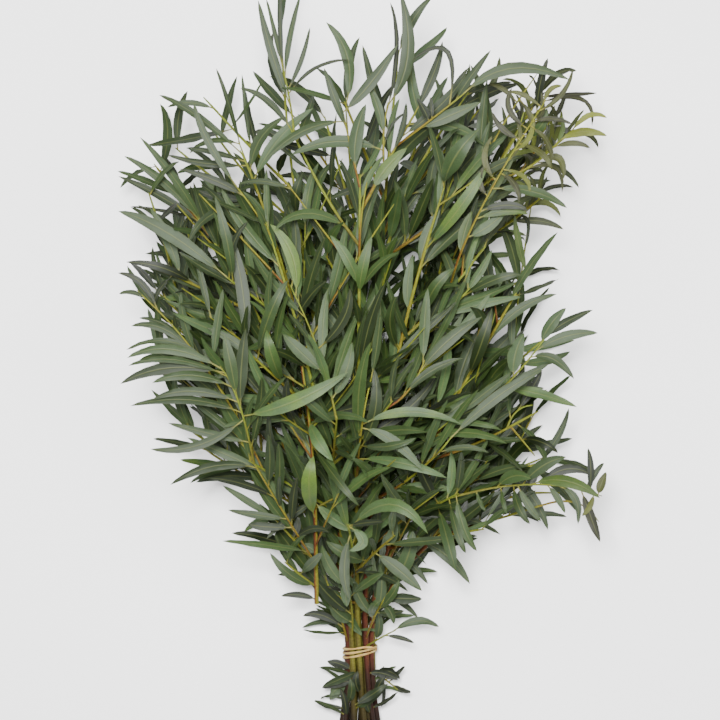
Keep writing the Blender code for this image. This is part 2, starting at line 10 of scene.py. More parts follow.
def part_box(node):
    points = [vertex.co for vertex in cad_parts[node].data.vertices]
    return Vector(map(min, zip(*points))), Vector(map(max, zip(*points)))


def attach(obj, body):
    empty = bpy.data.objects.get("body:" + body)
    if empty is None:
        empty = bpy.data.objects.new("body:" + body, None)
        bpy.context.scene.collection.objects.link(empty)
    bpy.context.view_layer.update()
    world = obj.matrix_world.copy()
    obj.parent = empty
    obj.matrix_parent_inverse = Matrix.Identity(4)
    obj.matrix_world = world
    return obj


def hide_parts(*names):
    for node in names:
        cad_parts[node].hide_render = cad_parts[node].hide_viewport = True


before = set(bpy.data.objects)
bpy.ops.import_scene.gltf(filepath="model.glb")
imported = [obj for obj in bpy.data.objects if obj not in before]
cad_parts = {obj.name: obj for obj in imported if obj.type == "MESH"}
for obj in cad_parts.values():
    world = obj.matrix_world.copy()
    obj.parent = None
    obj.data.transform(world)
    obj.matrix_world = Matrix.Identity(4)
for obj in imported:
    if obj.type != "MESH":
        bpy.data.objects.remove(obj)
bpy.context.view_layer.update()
for thing in bpy.context.selected_objects:
    thing.select_set(False)

# The tie: one long flat strand of dry tan fibre, wound two and a half times round the stems
# and pulled tight, with its short end left standing out at the right. It holds the whole bunch,
# so everything else is placed from the middle of it.
MM = 0.001
STRAND_WIDTH = 2.7 * MM
STRAND_THICKNESS = 1.8 * MM
BAND_INNER_RADIUS = 16.6 * MM
BAND_SEGMENTS = 24
BAND_START = 240.0
BAND_END = -645.0
STRAND_SIDES = 6
STRAND_STEP_LEFT = 4.5 * MM
STRAND_STEP_RIGHT = 3.2 * MM
BAND_TILT = 0.16
TAIL_LENGTH = 15.0 * MM
BAND_OUTER_RADIUS = BAND_INNER_RADIUS + STRAND_THICKNESS
BAND_HEIGHT = BAND_OUTER_RADIUS * math.cos(math.pi / BAND_SEGMENTS)
BAND_MIDDLE_TURN = 1.23
TAIL_SHARES = (0.35, 0.7, 1.0)
TAIL_SAG = Vector((0.0, -3.0, -1.0)) * MM


def blend(a, b, share):
    """The value at a share of the way from one to another."""
    return a + (b - a) * share


def band_path():
    """Centre line of the strand wound round the stems, up to where its tail leaves them."""
    radius = BAND_INNER_RADIUS + STRAND_THICKNESS / 2.0
    step = 360.0 / BAND_SEGMENTS
    count = int(round((BAND_START - BAND_END) / step))
    points = []
    for index in range(count + 1):
        degrees = BAND_START - index * step + step / 2.0
        angle = math.radians(degrees)
        x = radius * math.cos(angle)
        z = BAND_HEIGHT + radius * math.sin(angle)
        side = 0.5 + 0.5 * math.cos(angle)
        spacing = blend(STRAND_STEP_LEFT, STRAND_STEP_RIGHT, side)
        turns = (BAND_START - degrees) / 360.0 - BAND_MIDDLE_TURN
        points.append(Vector((x, spacing * turns + BAND_TILT * x, z)))
    return points


def strand_ring(point, out):
    """Six corners of the strand's section, with its flat outer face square to one direction."""
    corners = []
    for step in range(STRAND_SIDES):
        angle = 2.0 * math.pi * step / STRAND_SIDES
        wide = math.cos(angle) * STRAND_WIDTH / 2.0
        thick = math.sin(angle) * STRAND_THICKNESS / math.sqrt(3.0)
        corners.append(point + Vector((0.0, wide, 0.0)) + out * thick)
    return corners


def strand_line():
    """Points of the whole strand with its tail, and the way that its flat face looks at each."""
    points = band_path()
    line = []
    for point in points:
        out = Vector((point.x, 0.0, point.z - BAND_HEIGHT)).normalized()
        line.append((point, out))
    ahead = (points[-1] - points[-2]).normalized()
    for share in TAIL_SHARES:
        line.append((points[-1] + ahead * TAIL_LENGTH * share + TAIL_SAG * share ** 2, out))
    return line


def band_mesh():
    """The plain form of the strand, which the stems and leaves are kept clear of."""
    vertices = []
    faces = []
    for point, out in strand_line():
        vertices += strand_ring(point, out)
    rings = len(vertices) // STRAND_SIDES
    for ring in range(rings - 1):
        for step in range(STRAND_SIDES):
            after = (step + 1) % STRAND_SIDES
            a = ring * STRAND_SIDES
            b = a + STRAND_SIDES
            faces.append((a + step, a + after, b + after, b + step))
    last = (rings - 1) * STRAND_SIDES
    faces.append(tuple(reversed(range(STRAND_SIDES))))
    faces.append(tuple(range(last, last + STRAND_SIDES)))
    return vertices, faces


def rod(name, sides, rings):
    """A round rod one unit long with its ends closed, cut into rings, ready to be laid."""
    bpy.ops.mesh.primitive_cylinder_add(vertices=sides, radius=1.0, depth=1.0, end_fill_type="NGON")
    piece = bpy.context.active_object
    piece.name = name
    piece.data.name = name
    bpy.ops.object.mode_set(mode="EDIT")
    bpy.ops.mesh.select_mode(type="EDGE")
    bpy.ops.mesh.select_all(action="DESELECT")
    bpy.ops.object.mode_set(mode="OBJECT")
    for edge in piece.data.edges:
        a, b = [piece.data.vertices[i].co for i in edge.vertices]
        edge.select = abs(a.z - b.z) > 0.5
    bpy.ops.object.mode_set(mode="EDIT")
    bpy.ops.mesh.subdivide(number_cuts=rings - 2)
    bpy.ops.object.mode_set(mode="OBJECT")
    return piece


def lay_along(piece, place):
    """Moves each vertex of a rod to its place, given its share along and its turn round."""
    for vertex in piece.data.vertices:
        share = min(1.0, max(0.0, vertex.co.z + 0.5))
        vertex.co = place(share, math.atan2(vertex.co.y, vertex.co.x))


NOISE_STEPS = (12.9898, 65.233)
NOISE_SCALE = 43758.5453


def noise(*seed):
    """The same number from 0 to 1 for the same seed."""
    total = sum(part * (NOISE_STEPS[0] + NOISE_STEPS[1] * step) for step, part in enumerate(seed))
    value = math.sin(total) * NOISE_SCALE
    return value - math.floor(value)


def curve_through(values, share):
    """A smooth value at a share of the way through a row of points."""
    spot = share * (len(values) - 1)
    at = min(int(spot), len(values) - 2)
    part = spot - at
    b, c = values[at], values[at + 1]
    a = values[at - 1] if at > 0 else b * 2.0 - c
    d = values[at + 2] if at + 2 < len(values) else c * 2.0 - b
    return (
        b
        + (c - a) * (0.5 * part)
        + (a * 2.0 - b * 5.0 + c * 4.0 - d) * (0.5 * part * part)
        + (b * 3.0 - a - c * 3.0 + d) * (0.5 * part ** 3)
    )


def nodes_of(name, roughness):
    """A new material with its shader, ready for its pattern."""
    material = bpy.data.materials.new(name)
    material.use_nodes = True
    shader = material.node_tree.nodes["Principled BSDF"]
    shader.inputs["Roughness"].default_value = roughness
    return material, material.node_tree, shader


def add_node(tree, kind, **settings):
    """A new shader node; a setting named in_NAME goes to the input of that name."""
    node = tree.nodes.new(kind)
    for name, value in settings.items():
        if name.startswith("in_"):
            key = name[3:]
            key = int(key) if key.isdigit() else key.replace("_", " ")
            node.inputs[key].default_value = value
        else:
            setattr(node, name, value)
    return node


def ramp(tree, factor, stops):
    """A colour that follows a factor through given stops."""
    node = add_node(tree, "ShaderNodeValToRGB")
    steps = node.color_ramp.elements
    while len(steps) < len(stops):
        steps.new(0.5)
    for step, (position, colour) in zip(steps, stops):
        step.position = position
        step.color = (*colour, 1.0)
    tree.links.new(factor, node.inputs["Fac"])
    return node.outputs["Color"]


def mix(tree, factor, a, b, kind="MIX"):
    """Two colours mixed by a factor; each may be a socket or a plain colour."""
    node = add_node(tree, "ShaderNodeMix", data_type="RGBA", blend_type=kind)
    for value, socket in ((factor, node.inputs[0]), (a, node.inputs[6]), (b, node.inputs[7])):
        if isinstance(value, bpy.types.NodeSocket):
            tree.links.new(value, socket)
        elif isinstance(value, tuple):
            socket.default_value = (*value, 1.0)
        else:
            socket.default_value = value
    return node.outputs[2]


def maths(tree, operation, a, b=0.0):
    """One sum on sockets or plain numbers."""
    node = add_node(tree, "ShaderNodeMath", operation=operation)
    for value, socket in zip((a, b), node.inputs):
        if isinstance(value, bpy.types.NodeSocket):
            tree.links.new(value, socket)
        else:
            socket.default_value = value
    return node.outputs[0]


def clouded(tree, vector, scale, detail, roughness=0.5):
    """A soft random pattern from 0 to 1."""
    node = add_node(
        tree, "ShaderNodeTexNoise", in_Scale=scale, in_Detail=detail, in_Roughness=roughness
    )
    tree.links.new(vector, node.inputs["Vector"])
    return node.outputs["Fac"]


def on_object(tree):
    """Where each point lies on the piece, for patterns that keep their real size."""
    return add_node(tree, "ShaderNodeTexCoord").outputs["Object"]


def bumped(tree, shader, height, distance, strength):
    """Gives the surface a fine relief of a given depth."""
    node = add_node(tree, "ShaderNodeBump", in_Strength=strength, in_Distance=distance)
    tree.links.new(height, node.inputs["Height"])
    tree.links.new(node.outputs["Normal"], shader.inputs["Normal"])


def scaled_uv(tree, across, along):
    """The piece's own map, stretched so that a pattern runs along it."""
    uv = add_node(tree, "ShaderNodeUVMap", uv_map="UVMap")
    mapping = add_node(tree, "ShaderNodeMapping", in_Scale=(across, along, 1.0))
    tree.links.new(uv.outputs["UV"], mapping.inputs["Vector"])
    return mapping.outputs["Vector"]


# The middle of the tie in the frame, which everything else is placed from
tie_low = Vector([min(v[axis] for v in band_mesh()[0]) for axis in range(3)])
TIE_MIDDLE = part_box("tie_band")[0] - tie_low


def finished(piece, material, node_name):
    """Puts a piece in its place beside the tie and hangs it on the bunch."""
    piece.data.transform(Matrix.Translation(TIE_MIDDLE))
    piece.data.materials.clear()
    piece.data.materials.append(material)
    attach(piece, "root")
    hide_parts(node_name)
    piece.select_set(False)


tie_fibre, tree, shader = nodes_of("dry tan fibre", 0.72)
fibres = clouded(tree, scaled_uv(tree, 26.0, 9.0), 1.0, 5.0, 0.6)
patches = clouded(tree, on_object(tree), 160.0, 2.0)
tan = ramp(tree, fibres, (
    (0.3, (0.12, 0.075, 0.018)),
    (0.52, (0.31, 0.22, 0.065)),
    (0.7, (0.47, 0.37, 0.15)),
))
aged = ramp(tree, patches, ((0.42, (1.0, 1.0, 1.0)), (0.68, (0.8, 0.6, 0.38))))
tree.links.new(mix(tree, 1.0, tan, aged, "MULTIPLY"), shader.inputs["Base Color"])
bumped(tree, shader, fibres, 0.4 * MM, 0.7)

STRAND_RINGS = 102
STRAND_ROD_SIDES = 12
STRAND_WANDER = 0.25 * MM
WANDER_BEATS = (47.0, 113.0)
WANDER_DEPTHS = (0.22, 0.12)
SWELL_BEAT = 71.0
SWELL_DEPTH = 0.16
EDGE_THINNING = 0.25
STRAND_LEAN = 0.12
STRAND_END_WIDTH = 0.55
STRAND_ENDS = 60.0
RIDGES = 6.0
RIDGE_DEPTH = 0.06
strand = rod("tie_strand", STRAND_ROD_SIDES, STRAND_RINGS)
tie_points = [point for point, out in strand_line()]
tie_faces = [out for point, out in strand_line()]


def on_strand(share, turn):
    """A point of the strand's skin, which wanders, swells and is ridged, and thins at its ends."""
    point = curve_through(tie_points, share)
    out = curve_through(tie_faces, share).normalized()
    wander = math.sin(share * WANDER_BEATS[0]) * WANDER_DEPTHS[0]
    wander += math.sin(share * WANDER_BEATS[1] + 1.0) * WANDER_DEPTHS[1]
    width = STRAND_WIDTH / 2.0 * (0.9 + SWELL_DEPTH * math.sin(share * SWELL_BEAT + 2.0))
    ridge = 1.0 + RIDGE_DEPTH * math.cos(turn * RIDGES + share * 9.0)
    wide = math.cos(turn) * width * ridge
    thick = math.sin(turn) * STRAND_THICKNESS * 0.5 * ridge
    thick *= 1.0 - EDGE_THINNING * abs(math.cos(turn)) ** 3
    end = min(1.0, (1.0 - share) * STRAND_ENDS, share * STRAND_ENDS)
    across = Vector((0.0, 1.0, 0.0)) + out * (STRAND_LEAN * wander)
    wide = (wide + STRAND_WANDER * wander) * blend(STRAND_END_WIDTH, 1.0, end)
    spot = point + across * wide + out * thick
    spot.z = max(spot.z, 0.0)
    return spot


lay_along(strand, on_strand)
bpy.ops.object.shade_smooth()
finished(strand, tie_fibre, "tie_band")

# The stems: sixteen thin woody branches held side by side in the tie. Each is cut off square
# below it and leans out above it, and tapers to a young tip. The lower wood is red-brown to
# olive, the upper wood orange to yellow-green.
SEED = 11
SEAT_GAP = 0.3 * MM
STEM_RADII_AT_BAND = (2.5 * MM, 3.1 * MM)
STEM_SWELL_AT_CUT = 1.12
STEM_RADIUS_AT_TIP = 1.1 * MM
OUTER_RING_RADIUS = BAND_INNER_RADIUS - SEAT_GAP
INNER_RING_RADIUS = 6.1 * MM
INNER_COUNT = 5
BUTT_LENGTH = 94.0 * MM
BUTT_SPREAD = 0.62
BUTT_SWELL = 0.07
BUTT_RISE = 1.5 * MM
TWIST_RATE = math.radians(22.0) / BUTT_LENGTH
STEM_SIDES = 5
BUTT_RINGS = 3
STEM_RINGS = 9
BAND_REACH = 12.0 * MM
LEAN_ACROSS = 0.32
LEAN_MIDDLE = 0.26
LEAN_UP = 0.16
FLOOR_BEND = 2.0 * MM
THICKET_ROOM = 4000

# Where each stem ends, from the middle of the tie, and the heading of its last part in degrees
TIPS = (
    (-78.0, 622.0, 120.0, 92.0),
    (-15.0, 566.0, 60.0, 95.0),
    (38.0, 606.0, 140.0, 84.0),
    (104.0, 560.0, 172.0, 50.0),
    (180.0, 568.0, 112.0, 56.0),
    (206.0, 534.0, 66.0, 30.0),
    (162.0, 388.0, 168.0, 60.0),
    (190.0, 330.0, 112.0, 38.0),
    (206.0, 166.0, 42.0, -6.0),
    (-116.0, 512.0, 182.0, 112.0),
    (-168.0, 456.0, 138.0, 126.0),
    (-205.0, 372.0, 88.0, 140.0),
    (-166.0, 292.0, 52.0, 124.0),
    (-88.0, 432.0, 214.0, 108.0),
    (0.0, 476.0, 222.0, 90.0),
    (80.0, 468.0, 204.0, 72.0),
)
YOUNG = (4, 5)
BRANCH_NAMES = ["branch_%02d" % (index + 1) for index in range(len(TIPS))] + ["loose_sprig"]


def rest_height(z, floor, softness):
    """Height of a line that bends to lie along the floor where it would pass below it."""
    gap = abs(z - floor)
    higher = max(z, floor)
    if gap < softness:
        higher += (softness - gap) ** 2 / (4.0 * softness)
    return higher


def frames_along(points, start_side):
    """A side direction at each point of a path, carried along it without twist."""
    sides = []
    side = start_side
    for index in range(len(points)):
        ahead = points[min(index + 1, len(points) - 1)]
        behind = points[max(index - 1, 0)]
        along = (ahead - behind).normalized()
        side = (side - along * side.dot(along)).normalized()
        sides.append((along, side, along.cross(side)))
    return sides


def tube_mesh(points, radii, side_count, growth=0.0):
    """Vertices and faces of the plain form of a stem or twig."""
    side = Vector((0.0, 0.0, 1.0))
    if abs((points[1] - points[0]).normalized().z) > 0.9:
        side = Vector((1.0, 0.0, 0.0))
    vertices = []
    faces = []
    for point, radius, axes in zip(points, radii, frames_along(points, side)):
        for step in range(side_count):
            angle = 2.0 * math.pi * (step + 0.5) / side_count
            out = axes[1] * math.cos(angle) + axes[2] * math.sin(angle)
            vertices.append(point + out * (radius + growth))
    for ring in range(len(points) - 1):
        for step in range(side_count):
            after = (step + 1) % side_count
            a = ring * side_count
            b = a + side_count
            faces.append((a + step, a + after, b + after))
            faces.append((a + step, b + after, b + step))
    last = (len(points) - 1) * side_count
    faces.append(tuple(reversed(range(side_count))))
    faces.append(tuple(range(last, last + side_count)))
    return vertices, faces


class Thicket:
    """All that has grown so far, to keep each new piece clear of it."""

    def __init__(self):
        self.pieces = []
        self.lows = numpy.zeros((THICKET_ROOM, 3))
        self.highs = numpy.zeros((THICKET_ROOM, 3))

    def add(self, solid, name):
        """Keeps a closed mesh under a name."""
        vertices, faces = solid
        self.lows[len(self.pieces)] = numpy.min(vertices, axis=0)
        self.highs[len(self.pieces)] = numpy.max(vertices, axis=0)
        self.pieces.append((BVHTree.FromPolygons(vertices, faces), name))

    def meets(self, solid, skip=None, only=None):
        """Whether a solid touches any piece but one, or touches only one given piece."""
        vertices, faces = solid
        low = numpy.min(vertices, axis=0)
        high = numpy.max(vertices, axis=0)
        count = len(self.pieces)
        near = (self.lows[:count] <= high).all(axis=1) & (self.highs[:count] >= low).all(axis=1)
        tree = None
        for index in numpy.flatnonzero(near):
            other, name = self.pieces[index]
            if name == skip or (only is not None and name != only):
                continue
            if tree is None:
                tree = BVHTree.FromPolygons(vertices, faces)
            if tree.overlap(other):
                return True
        return False

    def blocks(self, shape, bar):
        """Whether a new piece, rooted on a bar, touches anything but that bar at its root."""
        if self.meets(shape(0), skip=bar.name):
            return True
        return self.meets(shape(1), only=bar.name)


def bezier(start, start_pull, end_pull, end, share):
    """A point on a smooth line that sets off towards one point and arrives from another."""
    rest = 1.0 - share
    return (
        start * rest ** 3
        + start_pull * (3.0 * rest * rest * share)
        + end_pull * (3.0 * rest * share * share)
        + end * share ** 3
    )


def heading_vector(degrees, rise):
    """A direction seen from above, with a rise."""
    angle = math.radians(degrees)
    return Vector((math.cos(angle), math.sin(angle), rise)).normalized()


def pull_back(tip):
    """The point that a stem heads for before it bends into its last heading."""
    end = Vector(tip[:3]) * MM
    length = (end - Vector((0.0, 0.0, BAND_HEIGHT))).length
    return end - heading_vector(tip[3], 0.08) * (length * 0.36)


def seats_in_band(rng):
    """Gives each stem a place in the tie on the side that it leans to."""
    leans = []
    for tip in TIPS:
        point = pull_back(tip)
        rise = (point.z - BAND_HEIGHT) / point.y
        leans.append((point.x / point.y / LEAN_ACROSS, (rise - LEAN_MIDDLE) / LEAN_UP))
    order = sorted(range(len(TIPS)), key=lambda i: math.hypot(*leans[i]))
    seats = [None] * len(TIPS)
    for group, radius in ((order[:INNER_COUNT], INNER_RING_RADIUS),
                          (order[INNER_COUNT:], OUTER_RING_RADIUS)):
        turn = 2.0 * math.pi / len(group)
        around = sorted(group, key=lambda i: math.atan2(leans[i][1], leans[i][0]))
        first = 0.0
        for place, index in enumerate(around):
            first += (math.atan2(leans[index][1], leans[index][0]) - place * turn) / len(around)
        for place, index in enumerate(around):
            thickness = rng.uniform(*STEM_RADII_AT_BAND)
            reach = radius if radius < OUTER_RING_RADIUS else radius - thickness
            seats[index] = (reach, first + place * turn, thickness)
    return seats


def seat_point(seat, y):
    """Where a stem's centre lies near the tie, turning slightly with the bundle."""
    radius, angle, _ = seat
    share = max(0.0, (-y - BAND_REACH) / (BUTT_LENGTH - BAND_REACH)) ** 2
    turned = angle + TWIST_RATE * y
    x = radius * math.cos(turned) * (1.0 + BUTT_SPREAD * share)
    z = radius * math.sin(turned) * (1.0 + BUTT_SWELL * share) + BUTT_RISE * share
    return Vector((x, y, BAND_HEIGHT + z))


def stem_path(seat, tip, butt_length):
    """Centre line of a tied stem, from its cut end through the tie to its tip."""
    points = [seat_point(seat, y) for y in (-butt_length, -butt_length * 0.5, -BAND_REACH)]
    start = seat_point(seat, BAND_REACH)
    end = Vector(tip[:3]) * MM
    along = (start - points[-1]).normalized()
    pull = start + along * ((end - start).length * 0.22)
    back = pull_back(tip)
    for ring in range(STEM_RINGS):
        points.append(bezier(start, pull, back, end, ring / (STEM_RINGS - 1)))
    return points


def smooth_point(points, share):
    """A point and direction at a share of the length of a path."""
    lengths = [0.0]
    for a, b in zip(points, points[1:]):
        lengths.append(lengths[-1] + (b - a).length)
    target = share * lengths[-1]
    for index in range(len(points) - 1):
        if target <= lengths[index + 1] or index == len(points) - 2:
            span = lengths[index + 1] - lengths[index]
            part = (target - lengths[index]) / span
            along = (points[index + 1] - points[index]).normalized()
            return points[index].lerp(points[index + 1], part), along


def path_length(points):
    """The length of a path from its first point to its last."""
    return sum((b - a).length for a, b in zip(points, points[1:]))


class Bar:
    """A stem or twig: its path, its thickness along it and the branch that it belongs to."""

    def __init__(self, branch, name, points, radii, sides):
        self.branch = branch
        self.name = name
        self.points = points
        self.radii = radii
        self.sides = sides

    def solid(self, growth=0.0, first=0):
        """The plain form of the bar from one of its points on, made thicker by a growth."""
        return tube_mesh(self.points[first:], self.radii[first:], self.sides, growth)


def stem_bars():
    """The tied stems."""
    bars = []
    rng = random.Random(SEED)
    for index, (seat, tip) in enumerate(zip(seats_in_band(rng), TIPS)):
        points = stem_path(seat, tip, BUTT_LENGTH - rng.uniform(0.0, 12.0) * MM)
        radii = []
        for ring in range(len(points)):
            if ring < BUTT_RINGS:
                share = 1.0 - ring / (BUTT_RINGS - 1)
                radii.append(seat[2] * blend(1.0, STEM_SWELL_AT_CUT, share))
            else:
                share = (ring - BUTT_RINGS) / (STEM_RINGS - 1)
                radii.append(blend(seat[2], STEM_RADIUS_AT_TIP, share ** 0.85))
        for point, radius in zip(points, radii):
            point.z = rest_height(point.z, radius, FLOOR_BEND)
        bars.append(Bar(index, "stem %d" % index, points, radii, STEM_SIDES))
    return bars


rng = random.Random(SEED)
thicket = Thicket()
thicket.add(band_mesh(), "band")
stems = stem_bars()
for stem in stems:
    thicket.add(stem.solid(), stem.name)


def tone_parts(tree):
    """The three tone values that are stored on each vertex, as separate sockets."""
    tone = add_node(tree, "ShaderNodeAttribute", attribute_name="tone")
    parts = add_node(tree, "ShaderNodeSeparateColor")
    tree.links.new(tone.outputs["Color"], parts.inputs["Color"])
    return parts.outputs


def swayed(tree, base, pattern, amount):
    """A value moved up and down by a pattern that runs from 0 to 1."""
    sway = maths(tree, "MULTIPLY", maths(tree, "SUBTRACT", pattern, 0.5), amount)
    return maths(tree, "ADD", base, sway)


bark, tree, shader = nodes_of("young bark", 0.7)
shader.inputs["Specular IOR Level"].default_value = 0.14
parts = tone_parts(tree)
streaks = clouded(tree, scaled_uv(tree, 5.0, 30.0), 1.0, 4.0, 0.62)
specks = add_node(tree, "ShaderNodeTexVoronoi", in_Scale=420.0)
tree.links.new(on_object(tree), specks.inputs["Vector"])
ripe = swayed(tree, parts["Green"], clouded(tree, on_object(tree), 28.0, 3.0), 0.9)
young_wood = ramp(tree, ripe, (
    (0.05, (0.11, 0.125, 0.012)),
    (0.3, (0.11, 0.092, 0.01)),
    (0.5, (0.085, 0.03, 0.007)),
    (0.72, (0.042, 0.01, 0.005)),
    (0.95, (0.02, 0.008, 0.004)),
))
olive_wood = ramp(tree, ripe, (
    (0.05, (0.1, 0.13, 0.014)),
    (0.35, (0.085, 0.085, 0.011)),
    (0.65, (0.045, 0.038, 0.007)),
    (0.95, (0.024, 0.016, 0.005)),
))
which = ramp(tree, parts["Red"], ((0.42, (0.0, 0.0, 0.0)), (0.58, (1.0, 1.0, 1.0))))
wood = mix(tree, which, young_wood, olive_wood)
shade = ramp(tree, streaks, ((0.3, (0.62, 0.56, 0.5)), (0.62, (1.15, 1.12, 1.05))))
wood = mix(tree, 1.0, wood, shade, "MULTIPLY")
dots = ramp(tree, specks.outputs["Distance"], ((0.1, (0.55, 0.5, 0.45)), (0.26, (1.0, 1.0, 1.0))))
wood = mix(tree, 0.6, wood, dots, "MULTIPLY")
# The tied stems are darker towards their cut ends.
darker_to_cut = ramp(tree, parts["Blue"], (
    (0.02, (0.42, 0.4, 0.36)),
    (0.11, (0.62, 0.6, 0.55)),
    (0.2, (1.0, 1.0, 1.0)),
))
tree.links.new(mix(tree, 1.0, wood, darker_to_cut, "MULTIPLY"), shader.inputs["Base Color"])
bumped(tree, shader, streaks, 0.3 * MM, 0.6)

STEM_FINE_RINGS = 44
STEM_FINE_SIDES = 10
NODE_GAP = 29.0 * MM
NODE_SWELL = 0.16
NODE_SHARPNESS = 8
FLUTES = 0.05
TIP_LENGTH = 0.08
TIP_THINNING = 0.5
TWIG_AGE = 0.42
GREENER_AGE = 0.72
SIDE_AGE = 0.12
SPRIG_AGE = (0.36, 0.34)
BARK_REPEAT = 100.0 * MM


def paint_tone(piece, tones):
    """Stores how each vertex of a piece is tinted."""
    values = piece.data.attributes.new("tone", "FLOAT_COLOR", "POINT")
    values.data.foreach_set("color", [part for tone in tones for part in (*tone, 1.0)])


def fine_bar(bar, sides, rings, number):
    """A finely made stem or twig along the same path, with slight swellings where leaves sit."""
    piece = rod(bar.name, sides, rings)
    length = path_length(bar.points)
    steps = [curve_through(bar.points, ring / (rings - 1)) for ring in range(rings)]
    side = Vector((0.0, 0.0, 1.0))
    if abs((steps[1] - steps[0]).normalized().z) > 0.9:
        side = Vector((1.0, 0.0, 0.0))
    axes = frames_along(steps, side)
    stem = bar.sides == STEM_SIDES
    own = noise(number, 3)
    tones = []

    def on_bar(share, turn):
        """A point of the bark, whose tones are stored on the way."""
        ring = int(round(share * (rings - 1)))
        spot = share * length
        radius = curve_through(bar.radii, share)
        node = max(0.0, math.cos(spot / NODE_GAP * 2.0 * math.pi + own * 9.0)) ** NODE_SHARPNESS
        swell = 1.0 + NODE_SWELL * node
        swell += FLUTES * math.sin(turn * 2.0 + own * 6.0 + share * 12.0)
        swell *= 1.0 - TIP_THINNING * max(0.0, (share - (1.0 - TIP_LENGTH)) / TIP_LENGTH) ** 2
        across = axes[ring][1] * math.cos(turn) + axes[ring][2] * math.sin(turn)
        age = (1.0 - share) if stem else TWIG_AGE * (1.0 - share)
        age = age * (GREENER_AGE if own > 0.5 else 1.0) - SIDE_AGE * across.x
        if bar.branch == len(TIPS) and stem:
            age = SPRIG_AGE[0] - SPRIG_AGE[1] * across.x
        tied = stem and bar.branch < len(TIPS)
        tones.append((own, max(0.0, age), share if tied else 1.0))
        lies = steps[ring] + across * radius * swell
        lies.z = max(lies.z, 0.0)
        return lies

    lay_along(piece, on_bar)
    paint_tone(piece, tones)
    for loop in piece.data.uv_layers.active.data:
        loop.uv = (loop.uv[0], loop.uv[1] * 2.0 * length / BARK_REPEAT)
    return piece


wood_parts = {}
for number, stem in enumerate(stems):
    wood_parts[stem.branch] = [fine_bar(stem, STEM_FINE_SIDES, STEM_FINE_RINGS, number)]

# The side twigs: slender young shoots that leave the stems at an acute angle and reach for the
# open places of the bunch. They are yellow-green, thinner than the stems, and bear most leaves.
TWIG_RADIUS_AT_ROOT = 1.5 * MM
TWIG_RADIUS_AT_TIP = 1.0 * MM
TWIG_SIDES = 4
TWIG_RINGS = 3
TWIG_LENGTHS = (80.0 * MM, 190.0 * MM)
TWIG_ANGLES = (22.0, 58.0)
TWIG_COUNT = 58
TWIG_GOALS = 900
TWIG_GOAL_RANGES = ((-250.0, 252.0), (60.0, 560.0), (8.0, 225.0))
TWIG_TRIES = 60
LOOK_WEIGHTS = (1.0, 1.0, 0.6)
CLEARANCE = 0.35 * MM
BARE_BELOW = 20.0 * MM
TWIGS_FROM = 45.0 * MM
TWIG_MARGIN = 38.0 * MM
TWIG_ROOT_STEPS = 15.0
TWIG_ROOT_FIRST = 0.18
TWIG_ROOT_SPAN = 0.76
BEST_TWIG_ANGLE = 36.0
BEST_TWIG_LENGTH = 125.0 * MM
TWIG_BEND = (-0.13, 0.05)
TWIG_FLOOR_BEND = 8.0 * MM
CROWD_GAP = 12.0 * MM
CROWDED_STEM_COST = 0.25
STEMS_TRIED = 4

# Height of the head at its sides, as a share of its height at the middle
DOME_EDGE = 0.4

# How far the head reaches to each side and up, at each distance from the tie
REACH = (
    (-95.0, -44.0, 48.0, 46.0),
    (0.0, -46.0, 46.0, 54.0),
    (20.0, -62.0, 66.0, 80.0),
    (35.0, -78.0, 80.0, 96.0),
    (63.0, -86.0, 76.0, 116.0),
    (90.0, -118.0, 100.0, 138.0),
    (113.0, -140.0, 122.0, 158.0),
    (140.0, -142.0, 246.0, 176.0),
    (163.0, -150.0, 252.0, 190.0),
    (190.0, -200.0, 252.0, 205.0),
    (213.0, -208.0, 234.0, 218.0),
    (263.0, -214.0, 222.0, 232.0),
    (313.0, -238.0, 234.0, 238.0),
    (363.0, -246.0, 216.0, 242.0),
    (413.0, -246.0, 204.0, 242.0),
    (463.0, -250.0, 228.0, 240.0),
    (513.0, -246.0, 252.0, 232.0),
    (563.0, -212.0, 252.0, 220.0),
    (600.0, -140.0, 228.0, 206.0),
    (640.0, -118.0, 140.0, 192.0),
    (694.0, -100.0, 85.0, 180.0),
)


def reach_at(y):
    """Left, right and top limits of the head at a distance from the tie."""
    station = y / MM
    if station <= REACH[0][0]:
        return [value * MM for value in REACH[0][1:]]
    for low, high in zip(REACH, REACH[1:]):
        if station <= high[0]:
            share = (station - low[0]) / (high[0] - low[0])
            return [blend(a, b, share) * MM for a, b in zip(low[1:], high[1:])]
    return [0.0, 0.0, 0.0]


def within_reach(point, margin=0.0):
    """Whether a point lies in the head, which is domed across."""
    left, right, top = reach_at(point.y)
    across = 2.0 * (point.x - left) / (right - left) - 1.0 if right > left else 2.0
    if abs(across) >= 1.0 or not left + margin < point.x < right - margin:
        return False
    dome = DOME_EDGE + (1.0 - DOME_EDGE) * math.sqrt(1.0 - across * across)
    return point.z < top * dome - margin * 0.5


def points_along(bar, gap):
    """Evenly spaced points along a bar, beyond the bare lower stems."""
    count = max(2, int(path_length(bar.points) / gap))
    places = [smooth_point(bar.points, step / count)[0] for step in range(count + 1)]
    return [place for place in places if place.y > BARE_BELOW]


